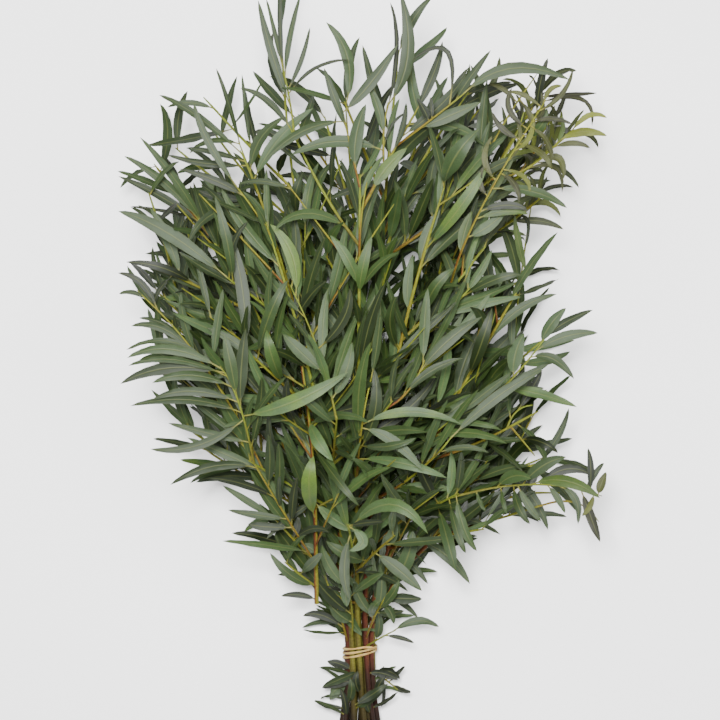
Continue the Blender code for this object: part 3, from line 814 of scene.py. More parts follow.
def twig_to(stem, goal):
    """The twig that would best reach a goal from a stem, and how well its angle suits."""
    best = None
    for step in range(int(TWIG_ROOT_STEPS) + 1):
        share = TWIG_ROOT_FIRST + TWIG_ROOT_SPAN * step / TWIG_ROOT_STEPS
        root, along = smooth_point(stem.points, share)
        if root.y < TWIGS_FROM:
            continue
        way = goal - root
        length = way.length
        if not TWIG_LENGTHS[0] < length < TWIG_LENGTHS[1]:
            continue
        angle = math.degrees(along.angle(way))
        if not TWIG_ANGLES[0] < angle < TWIG_ANGLES[1]:
            continue
        cost = abs(angle - BEST_TWIG_ANGLE) / BEST_TWIG_ANGLE
        cost += abs(length - BEST_TWIG_LENGTH) / BEST_TWIG_LENGTH
        if best is None or cost < best[0]:
            best = (cost, root, along, way)
    if best is None:
        return None
    cost, root, along, way = best
    bend = way * 0.5 + along * (way.length * rng.uniform(*TWIG_BEND))
    points = []
    for ring in range(TWIG_RINGS + 1):
        share = ring / TWIG_RINGS
        point = root + bend * (2.0 * share * (1.0 - share)) + way * share ** 2
        if ring:
            point.z = rest_height(point.z, TWIG_RADIUS_AT_ROOT, TWIG_FLOOR_BEND)
        points.append(point)
    return cost, points


def grow_twigs(grown, wanted, fits, margin, ends):
    """Side twigs, each grown from a stem towards the emptiest fitting place that it can reach."""
    filled = [tuple(place) for bar in stems + grown for place in points_along(bar, CROWD_GAP)]
    goals = []
    while len(goals) < TWIG_GOALS:
        goal = Vector([rng.uniform(low, high) * MM for low, high in TWIG_GOAL_RANGES])
        if fits(goal, margin):
            goals.append(goal)
    spots = numpy.array([tuple(goal) for goal in goals])
    room = numpy.full(len(goals), 1.0)
    for place in filled:
        room = numpy.minimum(room, numpy.linalg.norm((spots - place) * LOOK_WEIGHTS, axis=1))
    radii = []
    for ring in range(TWIG_RINGS + 1):
        radii.append(blend(ends[0], ends[1], ring / TWIG_RINGS))
    counts = [0] * len(stems)
    twigs = []
    tries = 0
    while len(twigs) < wanted and room.max() > 0.0 and tries < wanted * TWIG_TRIES:
        tries += 1
        pick = int(room.argmax())
        choices = []
        for index, stem in enumerate(stems):
            found = twig_to(stem, goals[pick])
            if found is not None:
                cost = found[0] + CROWDED_STEM_COST * counts[index]
                choices.append((cost, index, found[1]))
        room[pick] = -1.0
        for _, index, points in sorted(choices, key=lambda choice: choice[0])[:STEMS_TRIED]:
            stem = stems[index]
            twig = Bar(stem.branch, "twig %d" % len(thicket.pieces), points, radii, TWIG_SIDES)
            if thicket.blocks(lambda first: twig.solid(CLEARANCE, first), stem):
                continue
            thicket.add(twig.solid(), twig.name)
            twigs.append(twig)
            counts[index] += 1
            for place in points_along(twig, CROWD_GAP):
                near = numpy.linalg.norm((spots - tuple(place)) * LOOK_WEIGHTS, axis=1)
                room = numpy.minimum(room, near)
            break
    return twigs


TWIG_FINE_RINGS = 14
TWIG_FINE_SIDES = 6


def add_fine_twigs(twigs, first):
    """The finely made twigs, numbered from a first number, each kept with its branch's wood."""
    for number, twig in enumerate(twigs):
        piece = fine_bar(twig, TWIG_FINE_SIDES, TWIG_FINE_RINGS, first + number)
        wood_parts[twig.branch].append(piece)


TWIG_ENDS = (TWIG_RADIUS_AT_ROOT, TWIG_RADIUS_AT_TIP)
twigs = grow_twigs([], TWIG_COUNT, within_reach, TWIG_MARGIN, TWIG_ENDS)
add_fine_twigs(twigs, 40)

# The loose sprig: a short cut shoot caught among the others near the front, with a bare stem
# that is red-brown on one side and orange-yellow on the other. It rests on the twigs under it.
SPRIG_CUT = (-44.0, 56.0, 120.0)
SPRIG_TIP = (-60.0, 322.0, 222.0)
SPRIG_HEADING = 100.0
SPRIG_RADIUS_AT_CUT = 2.4 * MM
SPRIG_RINGS = 8
SPRIG_FINE_RINGS = 24
SPRIG_NUMBER = 17
SETTLE_STEP = 0.4 * MM


def loose_sprig():
    """The short cut sprig, lowered until it rests just clear of the twigs under it."""
    start = Vector(SPRIG_CUT) * MM
    end = Vector(SPRIG_TIP) * MM
    back = end - heading_vector(SPRIG_HEADING, 0.1) * (end - start).length * 0.4
    pull = start + heading_vector(91.0, 0.3) * (end - start).length * 0.3
    points = []
    radii = []
    for ring in range(SPRIG_RINGS):
        share = ring / (SPRIG_RINGS - 1)
        points.append(bezier(start, pull, back, end, share))
        radii.append(blend(SPRIG_RADIUS_AT_CUT, STEM_RADIUS_AT_TIP, share))
    sprig = Bar(len(TIPS), "stem %d" % len(TIPS), points, radii, STEM_SIDES)
    while points[0].z > SPRIG_RADIUS_AT_CUT:
        points = [point - Vector((0.0, 0.0, SETTLE_STEP)) for point in points]
        lower = Bar(sprig.branch, sprig.name, points, radii, STEM_SIDES)
        if thicket.meets(lower.solid(CLEARANCE)):
            break
        sprig = lower
    return sprig


sprig = loose_sprig()
thicket.add(sprig.solid(), sprig.name)
stems.append(sprig)
wood_parts[sprig.branch] = [fine_bar(sprig, STEM_FINE_SIDES, SPRIG_FINE_RINGS, SPRIG_NUMBER)]

# The leaves: long narrow sickle-shaped blades on short stalks, matt grey-green with a thin pale
# midrib. They turn round each stem and twig, hang a little, and lie clear of each other.
FIRST_HABIT = {
    "lengths": (62.0 * MM, 104.0 * MM),
    "widths": (0.105, 0.145),
    "angles": (26.0, 62.0),
    "sickle": 42.0,
    "droop": 48.0,
    "young size": 0.72,
    "young curl": 1.8,
    "clearance": CLEARANCE,
}
LEAF_THICKNESS = 0.9 * MM
LEAF_LEVEL = LEAF_THICKNESS + 0.02 * MM
LEAF_FLOOR_BEND = 6.0 * MM
PETIOLE_WIDTH = 1.25 * MM
LEAF_STEPS = 12
LEAF_MIDDLE = 6
LEAF_CUTS = (0, 3, 7, 12)
LOW_LEAVES = ((14.0 * MM, 62.0 * MM), (104.0 * MM, 132.0 * MM))
LEAF_TRIES = 16
LEAF_CHOICES = 4
GOLDEN_ANGLE = 137.5
LEAST_SICKLE = 4.0
END_LEAF_ANGLES = (2.0, 16.0)
END_LEAF_SPREAD = 40.0
LOW_LEAF_ANGLES = (45.0, 78.0)
LOW_LEAF_SIZE = 0.5
YOUNG_DROOP = 1.5
TURN_PLAY = 60.0
TURN_WHEN_TIGHT = 130.0
SHORTER_WHEN_TIGHT = 0.38
EDGE_ON = 0.93
ROOM_STEPS = (5, 8, 12)
SOUND_BEND = 0.9
SOUND_VOLUME = 0.25
STEM_AND_TWIG_FIRST = (130.0 * MM, 16.0 * MM)
STEM_AND_TWIG_SPACING = (54.0 * MM, 33.5 * MM)


def turned_from(along, angle, azimuth):
    """A direction at an angle from another, turned round it from straight up."""
    side = Vector((0.0, 0.0, 1.0))
    side = side - along * side.dot(along)
    if side.length < 0.05:
        side = Vector((0.0, 1.0, 0.0)) - along * along.y
    side.normalize()
    across = along.cross(side)
    out = side * math.cos(azimuth) + across * math.sin(azimuth)
    return (along * math.cos(angle) + out * math.sin(angle)).normalized()


def leaf_line(root, direction, facing, length, sickle, droop):
    """Centre, width and normal directions of a leaf at each of its steps."""
    point = root.copy()
    step = length / LEAF_STEPS
    pull = Vector((0.0, -1.0, -0.25)).normalized()
    line = []
    for index in range(LEAF_STEPS + 1):
        normal = (facing - direction * facing.dot(direction)).normalized()
        line.append((point.copy(), direction.copy(), normal))
        share = (index + 0.5) / LEAF_STEPS
        turn = Matrix.Rotation(sickle / LEAF_STEPS * (0.4 + 1.2 * share), 3, normal)
        direction = turn @ direction
        axis = direction.cross(pull)
        if axis.length > 0.02:
            fall = droop / LEAF_STEPS * (0.3 + 1.4 * share) * axis.length
            direction = Matrix.Rotation(fall, 3, axis.normalized()) @ direction
        direction.normalize()
        point = point + direction * step
    return line


def leaf_width(share, width):
    """Width of the blade at a share of its length: a thin stalk, then a long lance."""
    if share < 0.1:
        return PETIOLE_WIDTH
    blade = (share - 0.1) / 0.9
    swell = math.sin(math.pi * blade ** 0.8) ** 0.85
    return PETIOLE_WIDTH + (width - PETIOLE_WIDTH) * swell


def part_way(value, start, width):
    """How far a value has come past a start, as a share of a width, from 0 to 1."""
    return min(1.0, max(0.0, (value - start) / width))


def leaf_section(line, cut, width):
    """Middle, width and facing directions and half width of a leaf at one of its steps."""
    low = min(int(cut), LEAF_STEPS - 1)
    part = cut - low
    point = line[low][0].lerp(line[low + 1][0], part)
    direction = line[low][1].lerp(line[low + 1][1], part).normalized()
    normal = line[low][2].lerp(line[low + 1][2], part).normalized()
    half = leaf_width(cut / LEAF_STEPS, width) / 2.0
    height = rest_height(point.z, LEAF_LEVEL, LEAF_FLOOR_BEND)
    lifted = part_way(height, LEAF_LEVEL, half + 2.0 * MM)
    upright = Vector((0.0, 0.0, 1.0)) if normal.z >= 0.0 else Vector((0.0, 0.0, -1.0))
    if lifted < 1.0:
        upright.z = 1.0
    facing = upright.lerp(normal, lifted)
    if facing.length < 0.1:
        facing = upright
    flat = direction.copy()
    flat.z = blend(0.0, flat.z, lifted)
    if flat.length < 0.2:
        flat = direction.copy()
    flat.normalize()
    facing = (facing - flat * facing.dot(flat)).normalized()
    across = flat.cross(facing)
    return Vector((point.x, point.y, height)), across, facing, half


def leaf_mesh(line, width, growth=0.0, first=0):
    """Vertices and faces of the plain form of a leaf: flat above, with a keel under it."""
    vertices = []
    faces = []
    cuts = LEAF_CUTS[first:]
    for cut in cuts[:-1]:
        centre, across, facing, half = leaf_section(line, cut, width)
        wide = across * (half + growth)
        corners = [wide, facing * -(LEAF_THICKNESS + growth), -wide]
        if growth:
            lift = facing * growth
            corners = [wide + lift, wide - lift * 0.5, corners[1], -wide - lift * 0.5, lift - wide]
        vertices += [centre + corner for corner in corners]
    point, direction, _ = line[cuts[-1]]
    tip = Vector((point.x, point.y, rest_height(point.z, LEAF_LEVEL, LEAF_FLOOR_BEND)))
    vertices.append(tip + direction * growth)
    sides = len(corners)
    last = len(vertices) - 1 - sides
    for a in range(0, last, sides):
        b = a + sides
        for step in range(sides):
            after = (step + 1) % sides
            faces.append((a + step, a + after, b + after))
            faces.append((a + step, b + after, b + step))
    for step in range(sides):
        faces.append((last + step, last + (step + 1) % sides, len(vertices) - 1))
    faces.append(tuple(reversed(range(sides))))
    for vertex in vertices:
        vertex.z = max(vertex.z, 0.0)
    return vertices, faces


def solid_volume(solid):
    """The volume that a closed mesh holds."""
    vertices, faces = solid
    volume = 0.0
    for face in faces:
        first = vertices[face[0]]
        for second, third in zip(face[1:-1], face[2:]):
            volume += first.dot(vertices[second].cross(vertices[third])) / 6.0
    return volume


def leaf_is_sound(line, width):
    """False for a leaf that would turn over on itself or crumple where it meets the surface."""
    for point, direction, _ in line:
        if point.z < 14.0 * MM and abs(direction.z) > 0.7:
            return False
    for first, second in zip(line, line[1:]):
        if first[2].dot(second[2]) < SOUND_BEND:
            return False
    length = LEAF_STEPS * (line[1][0] - line[0][0]).length
    full = SOUND_VOLUME * length * width * LEAF_THICKNESS
    return solid_volume(leaf_mesh(line, width)) > full


def leaf_places(bars, first, spacing):
    """Where leaves sit along stems and twigs, turning by the golden angle."""
    places = []
    low = []
    for bar in bars:
        length = path_length(bar.points)
        stem = bar.sides == STEM_SIDES
        start = first[0] if stem else first[1]
        step = spacing[0] if stem else spacing[1]
        azimuth = rng.uniform(0.0, 360.0)
        reached = start + rng.uniform(0.0, 0.6) * step
        while reached < length - 0.35 * step:
            places.append((bar, reached / length, azimuth, "side"))
            azimuth += GOLDEN_ANGLE + rng.uniform(-15.0, 15.0)
            reached += step * rng.uniform(0.8, 1.2)
        if stem and bar.branch < len(TIPS):
            for span in LOW_LEAVES:
                low.append((bar, rng.uniform(*span) / length, azimuth, "low"))
    rng.shuffle(places)
    ends = [(bar, 1.0 - 3.0 * MM / path_length(bar.points), 0.0, "end") for bar in bars]
    return ends + low + places


def add_leaf(line, width):
    """Keeps later pieces clear of a leaf, and later leaves from crowding it."""
    thicket.add(leaf_mesh(line, width), "leaf %d" % len(thicket.pieces))
    crowd.extend([tuple(numpy.array(line[step][0]) * LOOK_WEIGHTS) for step in ROOM_STEPS])


def grow_leaves(places, fits, habit):
    """Leaves at their places; of a few that lie clear, the one with most room is kept."""
    leaves = []
    for bar, share, azimuth, kind in places:
        root, along = smooth_point(bar.points, share)
        size = rng.random()
        slim = rng.uniform(*habit["widths"])
        young = bar.branch in YOUNG
        best = None
        found = 0
        for attempt in range(LEAF_TRIES):
            loose = attempt / LEAF_TRIES
            angle = math.radians(rng.uniform(*habit["angles"]))
            if kind == "end":
                angle = math.radians(rng.uniform(*END_LEAF_ANGLES) + END_LEAF_SPREAD * loose)
            if kind == "low":
                angle = math.radians(rng.uniform(*LOW_LEAF_ANGLES))
            turn = azimuth + rng.uniform(-TURN_PLAY, TURN_PLAY)
            turn += rng.uniform(-TURN_WHEN_TIGHT, TURN_WHEN_TIGHT) * loose
            direction = turned_from(along, angle, math.radians(turn))
            facing = Vector((rng.gauss(0.0, 0.5), rng.gauss(0.0, 0.5), 1.0)).normalized()
            if abs(facing.dot(direction)) > EDGE_ON:
                facing = Vector((0.0, -1.0, 0.4)).normalized()
            length = blend(*habit["lengths"], size) * (1.0 - SHORTER_WHEN_TIGHT * loose)
            side = rng.choice((-1.0, 1.0))
            sickle = math.radians(side * rng.uniform(LEAST_SICKLE, habit["sickle"]))
            droop = math.radians(rng.uniform(0.0, habit["droop"]))
            if kind == "low":
                length *= LOW_LEAF_SIZE
            if young:
                length *= habit["young size"]
                sickle *= habit["young curl"]
                droop *= YOUNG_DROOP
            line = leaf_line(root, direction, facing, length, sickle, droop)
            width = length * slim
            if not fits(line[-1][0]) or not leaf_is_sound(line, width):
                continue
            if thicket.blocks(lambda first: leaf_mesh(line, width, habit["clearance"], first), bar):
                continue
            spots = numpy.array([tuple(line[step][0]) for step in ROOM_STEPS]) * LOOK_WEIGHTS
            room = 1.0
            if crowd:
                apart = numpy.array(crowd)[:, None, :] - spots[None, :, :]
                room = numpy.sqrt((apart ** 2).sum(axis=2)).min(axis=0).mean()
            if best is None or room > best[0]:
                best = (room, line, width)
            found += 1
            if found == LEAF_CHOICES:
                break
        if best is not None:
            add_leaf(best[1], best[2])
            leaves.append((bar, best[1], best[2], None))
    return leaves


crowd = []
places = leaf_places(stems + twigs, STEM_AND_TWIG_FIRST, STEM_AND_TWIG_SPACING)
leaves = grow_leaves(places, within_reach, FIRST_HABIT)

# The twigs and leaves that stand out at the front and along the edges of the bunch. They are
# grown like the others, but each is set by the place in the picture where it starts, bends and
# ends, and is rooted on the nearest stem or twig there.
CAMERA_HEIGHT = 1.9
CAMERA_ALONG = 0.303
PIXELS = 1800.0
PICTURE_MIDDLE = 360.0

# Start, bend and end of each twig in the picture
FRONT_TWIGS = (
    (285, 142, 285, 98, 279, 52), (258, 188, 249, 168, 240, 150), (263, 228, 251, 207, 236, 186),
    (326, 405, 314, 345, 290, 285), (357, 492, 362, 430, 372, 375), (276, 448, 247, 395, 220, 366),
    (306, 462, 289, 428, 275, 394), (411, 152, 437, 122, 466, 92),
    (478, 202, 497, 142, 537, 74), (280, 458, 214, 365, 137, 290), (372, 162, 379, 132, 388, 102),
    (312, 566, 262, 480, 205, 378), (450, 292, 480, 212, 546, 100), (500, 384, 524, 362, 548, 334),
    (505, 425, 516, 410, 533, 405), (498, 192, 532, 172, 562, 138), (470, 496, 540, 484, 602, 496),
    (381, 645, 387, 637, 396, 630), (362, 262, 362, 222, 367, 182), (345, 172, 344, 138, 342, 108),
    (520, 436, 526, 444, 535, 456), (440, 482, 445, 458, 452, 436),
    (455, 262, 462, 240, 470, 218), (484, 252, 474, 262, 468, 272), (412, 358, 424, 340, 428, 316),
    (418, 420, 421, 395, 425, 360), (395, 668, 396, 680, 398, 690), (466, 214, 474, 192, 484, 172),
    (560, 486, 584, 494, 599, 522), (500, 196, 516, 152, 524, 112), (512, 176, 534, 150, 556, 136),
    (345, 640, 338, 612, 326, 580), (368, 640, 378, 612, 392, 588), (352, 640, 352, 610, 346, 578),
)

# Start, bend and end of each leaf in the picture, its width in millimetres and its tint, which
# runs from dark to pale grey-green at 1 and on to yellow-green above that; the dark end is partly
# painted shade, for leaves deep in the bunch
FRONT_LEAVES = (
    (262, 418, 303, 402, 348, 372, 15, 0.85),
    (361, 462, 376, 415, 373, 367, 13, 0.8), (374, 433, 415, 415, 461, 424, 10, 0.85),
    (362, 483, 404, 473, 447, 478, 11, 0.75), (363, 509, 369, 534, 349, 551, 11, 0.7),
    (343, 519, 388, 500, 428, 534, 14, 0.6), (311, 503, 334, 521, 359, 531, 13, 0.8),
    (313, 520, 308, 486, 314, 456, 16, 0.98), (371, 436, 398, 445, 423, 471, 11, 0.75),
    (298, 423, 313, 441, 333, 461, 13, 0.8), (308, 453, 335, 482, 359, 506, 8, 0.5),
    (362, 456, 388, 451, 416, 438, 9, 0.7), (450, 502, 453, 476, 451, 451, 9, 0.75),
    (400, 576, 411, 553, 413, 530, 16, 0.75),
    (372, 560, 398, 573, 422, 591, 14, 0.6), (386, 586, 404, 594, 422, 599, 12, 0.2),
    (377, 588, 388, 605, 394, 624, 10, 0.3), (383, 630, 392, 620, 404, 611, 9, 0.4),
    (347, 578, 346, 592, 347, 607, 12, 0.7), (352, 624, 340, 616, 329, 604, 13, 0.3),
    (344, 615, 327, 597, 314, 577, 13, 0.2), (365, 566, 346, 557, 326, 541, 14, 0.45),
    (382, 556, 391, 541, 396, 520, 12, 0.4), (330, 566, 316, 553, 300, 545, 10, 0.3),
    (364, 618, 356, 600, 354, 582, 11, 0.35), (345, 640, 338, 626, 335, 612, 8, 0.2),
    (389, 612, 396, 596, 399, 580, 10, 0.35), (360, 592, 372, 580, 384, 573, 11, 0.5),
    (350, 668, 338, 665, 327, 661, 9, 0.0), (352, 676, 337, 680, 322, 688, 12, 0.1),
    (345, 684, 337, 688, 331, 696, 14, 0.5), (340, 708, 326, 706, 315, 700, 6, 0.1),
    (355, 708, 371, 697, 388, 684, 11, 0.15), (368, 672, 383, 673, 398, 680, 9, 0.0),
    (388, 690, 400, 691, 411, 692, 4, 0.0), (390, 684, 398, 676, 404, 666, 5, 0.0),
    (374, 708, 386, 702, 398, 692, 5, 0.0), (338, 718, 342, 702, 340, 688, 8, 0.1),
    (362, 696, 356, 684, 358, 671, 9, 0.05), (376, 696, 380, 684, 386, 674, 8, 0.05),
    (348, 704, 352, 692, 350, 678, 9, 0.15), (370, 716, 366, 702, 372, 690, 9, 0.1),
    (508, 160, 520, 140, 516, 116, 5, 1.5), (516, 150, 531, 136, 532, 112, 5, 1.7),
    (500, 182, 486, 160, 492, 136, 6, 1.3), (520, 126, 506, 108, 512, 88, 6, 1.2),
    (528, 150, 545, 156, 552, 170, 6, 1.4), (514, 168, 528, 176, 530, 192, 5, 1.6),
    (524, 120, 538, 112, 541, 92, 5, 1.1), (494, 200, 482, 184, 484, 166, 6, 1.2),
    (540, 142, 552, 150, 551, 166, 6, 1.3), (532, 100, 520, 92, 508, 92, 5, 1.4),
    (538, 90, 548, 84, 562, 86, 5, 1.6), (524, 104, 534, 122, 531, 138, 6, 1.2),
    (516, 134, 500, 126, 492, 112, 6, 1.1), (546, 130, 558, 122, 572, 124, 5, 1.3),
    (504, 176, 516, 186, 519, 202, 6, 1.1), (510, 100, 500, 88, 488, 84, 5, 1.2),
    (250, 148, 200, 113, 159, 95, 8, 0.2), (222, 178, 201, 136, 194, 103, 8, 0.6),
    (246, 163, 214, 153, 186, 148, 6, 0.2), (247, 167, 205, 164, 168, 155, 7, 0.3),
    (252, 188, 220, 178, 180, 169, 8, 0.3), (241, 133, 229, 99, 216, 68, 5, 0.2),
    (251, 140, 246, 110, 242, 74, 5, 0.2), (241, 131, 251, 108, 263, 80, 3, 0.3),
    (212, 225, 180, 181, 140, 137, 9, 0.5), (202, 219, 164, 181, 124, 156, 9, 0.5),
    (197, 217, 160, 194, 118, 176, 9, 0.5), (221, 300, 166, 242, 118, 211, 14, 0.7),
    (195, 272, 174, 238, 150, 208, 11, 0.5), (187, 213, 160, 209, 130, 206, 4, 0.1),
    (252, 277, 235, 240, 215, 196, 10, 0.7), (262, 338, 249, 285, 228, 228, 13, 0.75),
    (186, 300, 160, 274, 126, 262, 9, 0.1), (166, 300, 145, 279, 118, 273, 7, 0.1),
    (152, 293, 135, 290, 119, 294, 5, 0.2), (202, 346, 166, 326, 131, 326, 8, 0.4),
    (202, 336, 170, 321, 139, 318, 6, 0.4), (208, 356, 166, 344, 127, 358, 10, 0.6),
    (206, 350, 166, 337, 126, 350, 6, 0.3), (214, 372, 168, 358, 128, 366, 7, 0.6),
    (216, 378, 165, 370, 120, 384, 12, 0.7), (217, 399, 185, 380, 152, 383, 10, 0.4),
    (223, 412, 186, 395, 152, 400, 9, 0.3), (222, 428, 180, 406, 130, 406, 9, 0.3),
    (237, 453, 205, 438, 168, 423, 8, 0.2), (228, 431, 192, 450, 150, 449, 9, 0.5),
    (254, 472, 212, 468, 170, 485, 10, 0.2), (267, 507, 240, 488, 208, 478, 9, 0.1),
    (279, 531, 255, 520, 228, 510, 8, 0.2), (287, 541, 262, 532, 248, 524, 9, 0.2),
    (306, 560, 270, 549, 222, 541, 8, 0.5), (314, 587, 290, 576, 270, 553, 10, 0.3),
    (324, 605, 302, 597, 281, 596, 7, 0.1), (340, 630, 320, 616, 303, 616, 9, 0.0),
    (342, 638, 322, 635, 303, 630, 4, 0.2), (268, 112, 263, 56, 258, 0, 9, 0.3),
    (281, 60, 276, 38, 266, -2, 5, 0.2), (280, 60, 279, 25, 281, -12, 5, 0.2),
    (280, 60, 288, 30, 301, -6, 6, 0.2), (285, 92, 300, 62, 310, 27, 5, 0.2),
    (354, 88, 351, 52, 326, 22, 12, 0.6), (304, 100, 322, 70, 350, 60, 4, 0.2),
    (388, 104, 408, 54, 400, -8, 14, 0.5), (346, 110, 372, 82, 398, 44, 11, 0.5),
    (392, 92, 399, 40, 390, 2, 5, 0.1), (376, 138, 375, 108, 367, 84, 9, 0.4),
    (368, 172, 361, 138, 366, 104, 14, 0.75), (376, 153, 334, 142, 291, 155, 12, 0.75),
    (346, 109, 302, 127, 264, 162, 9, 0.5), (268, 180, 283, 140, 313, 108, 12, 0.75),
    (245, 168, 257, 138, 284, 117, 12, 0.5), (336, 112, 330, 90, 324, 68, 8, 0.3),
    (446, 102, 446, 50, 412, 60, 5, 0.1), (424, 138, 450, 120, 481, 102, 12, 0.45),
    (465, 94, 512, 68, 570, 80, 12, 0.45), (432, 179, 450, 154, 479, 129, 18, 0.75),
    (466, 92, 473, 76, 491, 50, 8, 0.2), (432, 132, 426, 115, 417, 98, 8, 0.1),
    (434, 124, 432, 110, 431, 97, 5, 0.1), (392, 202, 395, 172, 407, 148, 13, 0.98),
    (408, 162, 409, 130, 406, 103, 6, 0.2), (377, 138, 390, 121, 406, 113, 3, 0.1),
    (506, 187, 540, 191, 567, 208, 10, 0.6), (500, 216, 504, 187, 513, 160, 8, 0.95),
    (438, 230, 466, 198, 488, 164, 12, 0.9), (452, 257, 461, 233, 472, 211, 11, 0.95),
    (482, 250, 493, 232, 506, 211, 11, 0.6), (505, 219, 523, 222, 526, 246, 4, 0.1),
    (499, 204, 515, 202, 528, 211, 8, 0.1), (499, 216, 515, 210, 528, 214, 8, 0.9),
    (549, 112, 545, 84, 548, 58, 9, 0.1), (552, 98, 567, 89, 573, 69, 5, 1.2),
    (550, 103, 575, 97, 597, 93, 5, 1.1), (552, 102, 588, 98, 592, 126, 5, 1.2),
    (556, 112, 583, 107, 607, 118, 6, 1.8), (553, 139, 580, 131, 607, 136, 9, 1.7),
    (556, 140, 575, 140, 590, 148, 6, 1.2), (549, 137, 560, 127, 562, 116, 5, 1.0),
    (538, 160, 559, 159, 563, 180, 8, 1.4), (532, 190, 558, 176, 562, 193, 5, 1.2),
    (526, 138, 541, 128, 547, 108, 9, 0.4), (506, 305, 529, 266, 558, 232, 9, 0.55),
    (489, 347, 518, 312, 557, 294, 10, 0.4), (474, 304, 484, 276, 492, 250, 8, 0.6),
    (470, 292, 500, 277, 521, 275, 9, 0.5), (538, 343, 550, 324, 566, 308, 12, 0.75),
    (546, 339, 566, 323, 593, 310, 9, 0.5), (545, 338, 570, 331, 598, 333, 11, 0.6),
    (527, 356, 552, 358, 574, 379, 10, 0.4), (513, 374, 515, 354, 524, 333, 16, 0.75),
    (454, 421, 498, 390, 543, 370, 11, 0.6), (514, 407, 530, 388, 542, 371, 9, 0.1),
    (500, 407, 524, 396, 544, 388, 7, 0.2), (517, 409, 545, 402, 577, 407, 11, 0.9),
    (518, 440, 539, 442, 558, 453, 9, 0.1), (520, 482, 541, 465, 566, 457, 13, 0.55),
    (494, 482, 512, 474, 531, 479, 14, 0.6), (530, 484, 566, 481, 600, 498, 13, 0.95),
    (540, 472, 566, 464, 592, 475, 10, 0.1), (590, 484, 591, 466, 588, 448, 7, 0.1),
    (588, 482, 596, 470, 604, 463, 6, 0.2), (600, 497, 602, 485, 606, 472, 9, 1.5),
    (514, 486, 519, 507, 530, 524, 9, 0.3), (520, 490, 530, 508, 541, 521, 8, 0.5),
    (545, 489, 557, 500, 565, 513, 7, 0.4), (558, 489, 575, 501, 578, 524, 8, 0.3),
    (597, 500, 597, 521, 600, 542, 10, 1.1), (594, 500, 590, 509, 582, 516, 6, 1.6),
    (500, 496, 503, 506, 507, 514, 5, 0.3), (476, 497, 480, 504, 485, 511, 5, 0.3),
    (449, 514, 461, 536, 477, 551, 10, 0.5), (440, 519, 454, 541, 466, 553, 8, 0.3),
    (430, 522, 445, 548, 456, 571, 13, 0.8), (418, 545, 447, 558, 470, 584, 12, 0.3),
    (407, 562, 418, 570, 428, 584, 8, 0.2), (402, 596, 411, 605, 418, 618, 7, 0.3),
    (396, 630, 419, 620, 439, 627, 9, 0.7), (395, 631, 405, 636, 414, 643, 5, 0.1),
    (346, 672, 336, 664, 328, 662, 8, 0.0), (355, 671, 339, 679, 323, 687, 9, 0.2),
    (336, 714, 324, 705, 314, 701, 5, 0.2), (376, 671, 389, 671, 400, 679, 9, 0.0),
    (396, 691, 404, 693, 411, 692, 3, 0.0), (397, 684, 401, 675, 405, 666, 3, 0.0),
    (352, 707, 370, 696, 387, 684, 9, 0.3), (342, 684, 335, 691, 330, 700, 12, 0.4),
    (397, 690, 390, 699, 381, 707, 4, 0.0), (303, 293, 295, 254, 270, 224, 13, 1.0),
    (217, 346, 219, 318, 223, 289, 9, 0.6), (266, 337, 273, 306, 288, 280, 12, 0.8),
    (262, 402, 250, 365, 246, 328, 13, 0.55), (287, 397, 273, 362, 267, 330, 13, 0.5),
    (246, 396, 234, 362, 224, 334, 12, 0.5), (303, 384, 292, 356, 283, 334, 13, 0.6),
    (470, 382, 482, 346, 492, 308, 13, 0.5), (453, 402, 464, 362, 481, 328, 14, 0.5),
    (439, 347, 431, 318, 428, 288, 11, 0.55), (424, 361, 450, 336, 482, 317, 12, 0.55),
    (398, 387, 428, 368, 463, 358, 9, 0.4), (399, 312, 404, 284, 413, 254, 10, 0.7),
    (350, 292, 345, 262, 330, 235, 11, 0.6), (382, 300, 372, 268, 372, 236, 11, 0.5),
    (318, 262, 325, 232, 342, 206, 11, 0.55), (425, 268, 428, 238, 440, 210, 12, 0.6),
    (398, 240, 400, 208, 394, 180, 11, 0.5), (300, 232, 296, 202, 303, 172, 12, 0.6),
    (340, 345, 352, 318, 350, 288, 11, 0.5), (330, 398, 345, 372, 352, 342, 12, 0.6),
    (395, 352, 388, 325, 396, 296, 11, 0.5), (420, 315, 432, 288, 455, 268, 12, 0.6),
    (367, 610, 378, 590, 380, 565, 11, 0.6), (356, 628, 366, 612, 382, 600, 10, 0.55),
    (377, 650, 380, 630, 377, 608, 10, 0.75), (338, 606, 350, 620, 362, 636, 12, 0.7),
    (335, 580, 325, 565, 322, 545, 12, 0.5), (352, 560, 345, 580, 350, 600, 11, 0.45),
)
FRONT_TWIG_RADII = (1.1 * MM, 0.65 * MM)
FRONT_TWIG_STEPS = 4
FRONT_TWIG_FLOOR = 1.5 * MM
FRONT_WIDTH = 0.96
FRONT_CLEARANCE = 0.05 * MM
FRONT_BEND = 0.85
FRONT_VOLUME = 0.17
LEAF_ROOT_SEARCH = 26.0
TWIG_ROOT_SEARCH = 34.0
LEAF_ROOT_EASE = 1.6
TWIG_ROOT_EASE = 2.0
ROOT_STEP = 4.0 * MM
ROOT_SPACING = 7.0 * MM
ROOTS_TRIED = 6
RISES = (0.1, 0.22, -0.05, 0.34, -0.2, 0.48, -0.36, 0.62, 0.85)
ARCHES = (0.6, 0.95)
LOWEST_END = 4.0 * MM
HIGHEST_END = 236.0 * MM
BEND_FOLLOWS_ROOT = 0.4
SHOWN_STEPS = (3, 5, 7, 9, 11)
LEAF_COVER = 4.5
TWIG_COVER = 5.0
SLIMMER = 0.7


def seen(point):
    """Where a point shows in the picture."""
    scale = PIXELS / (CAMERA_HEIGHT - point.z)
    down = (CAMERA_ALONG - point.y) * scale
    return numpy.array((PICTURE_MIDDLE + point.x * scale, PICTURE_MIDDLE + down))


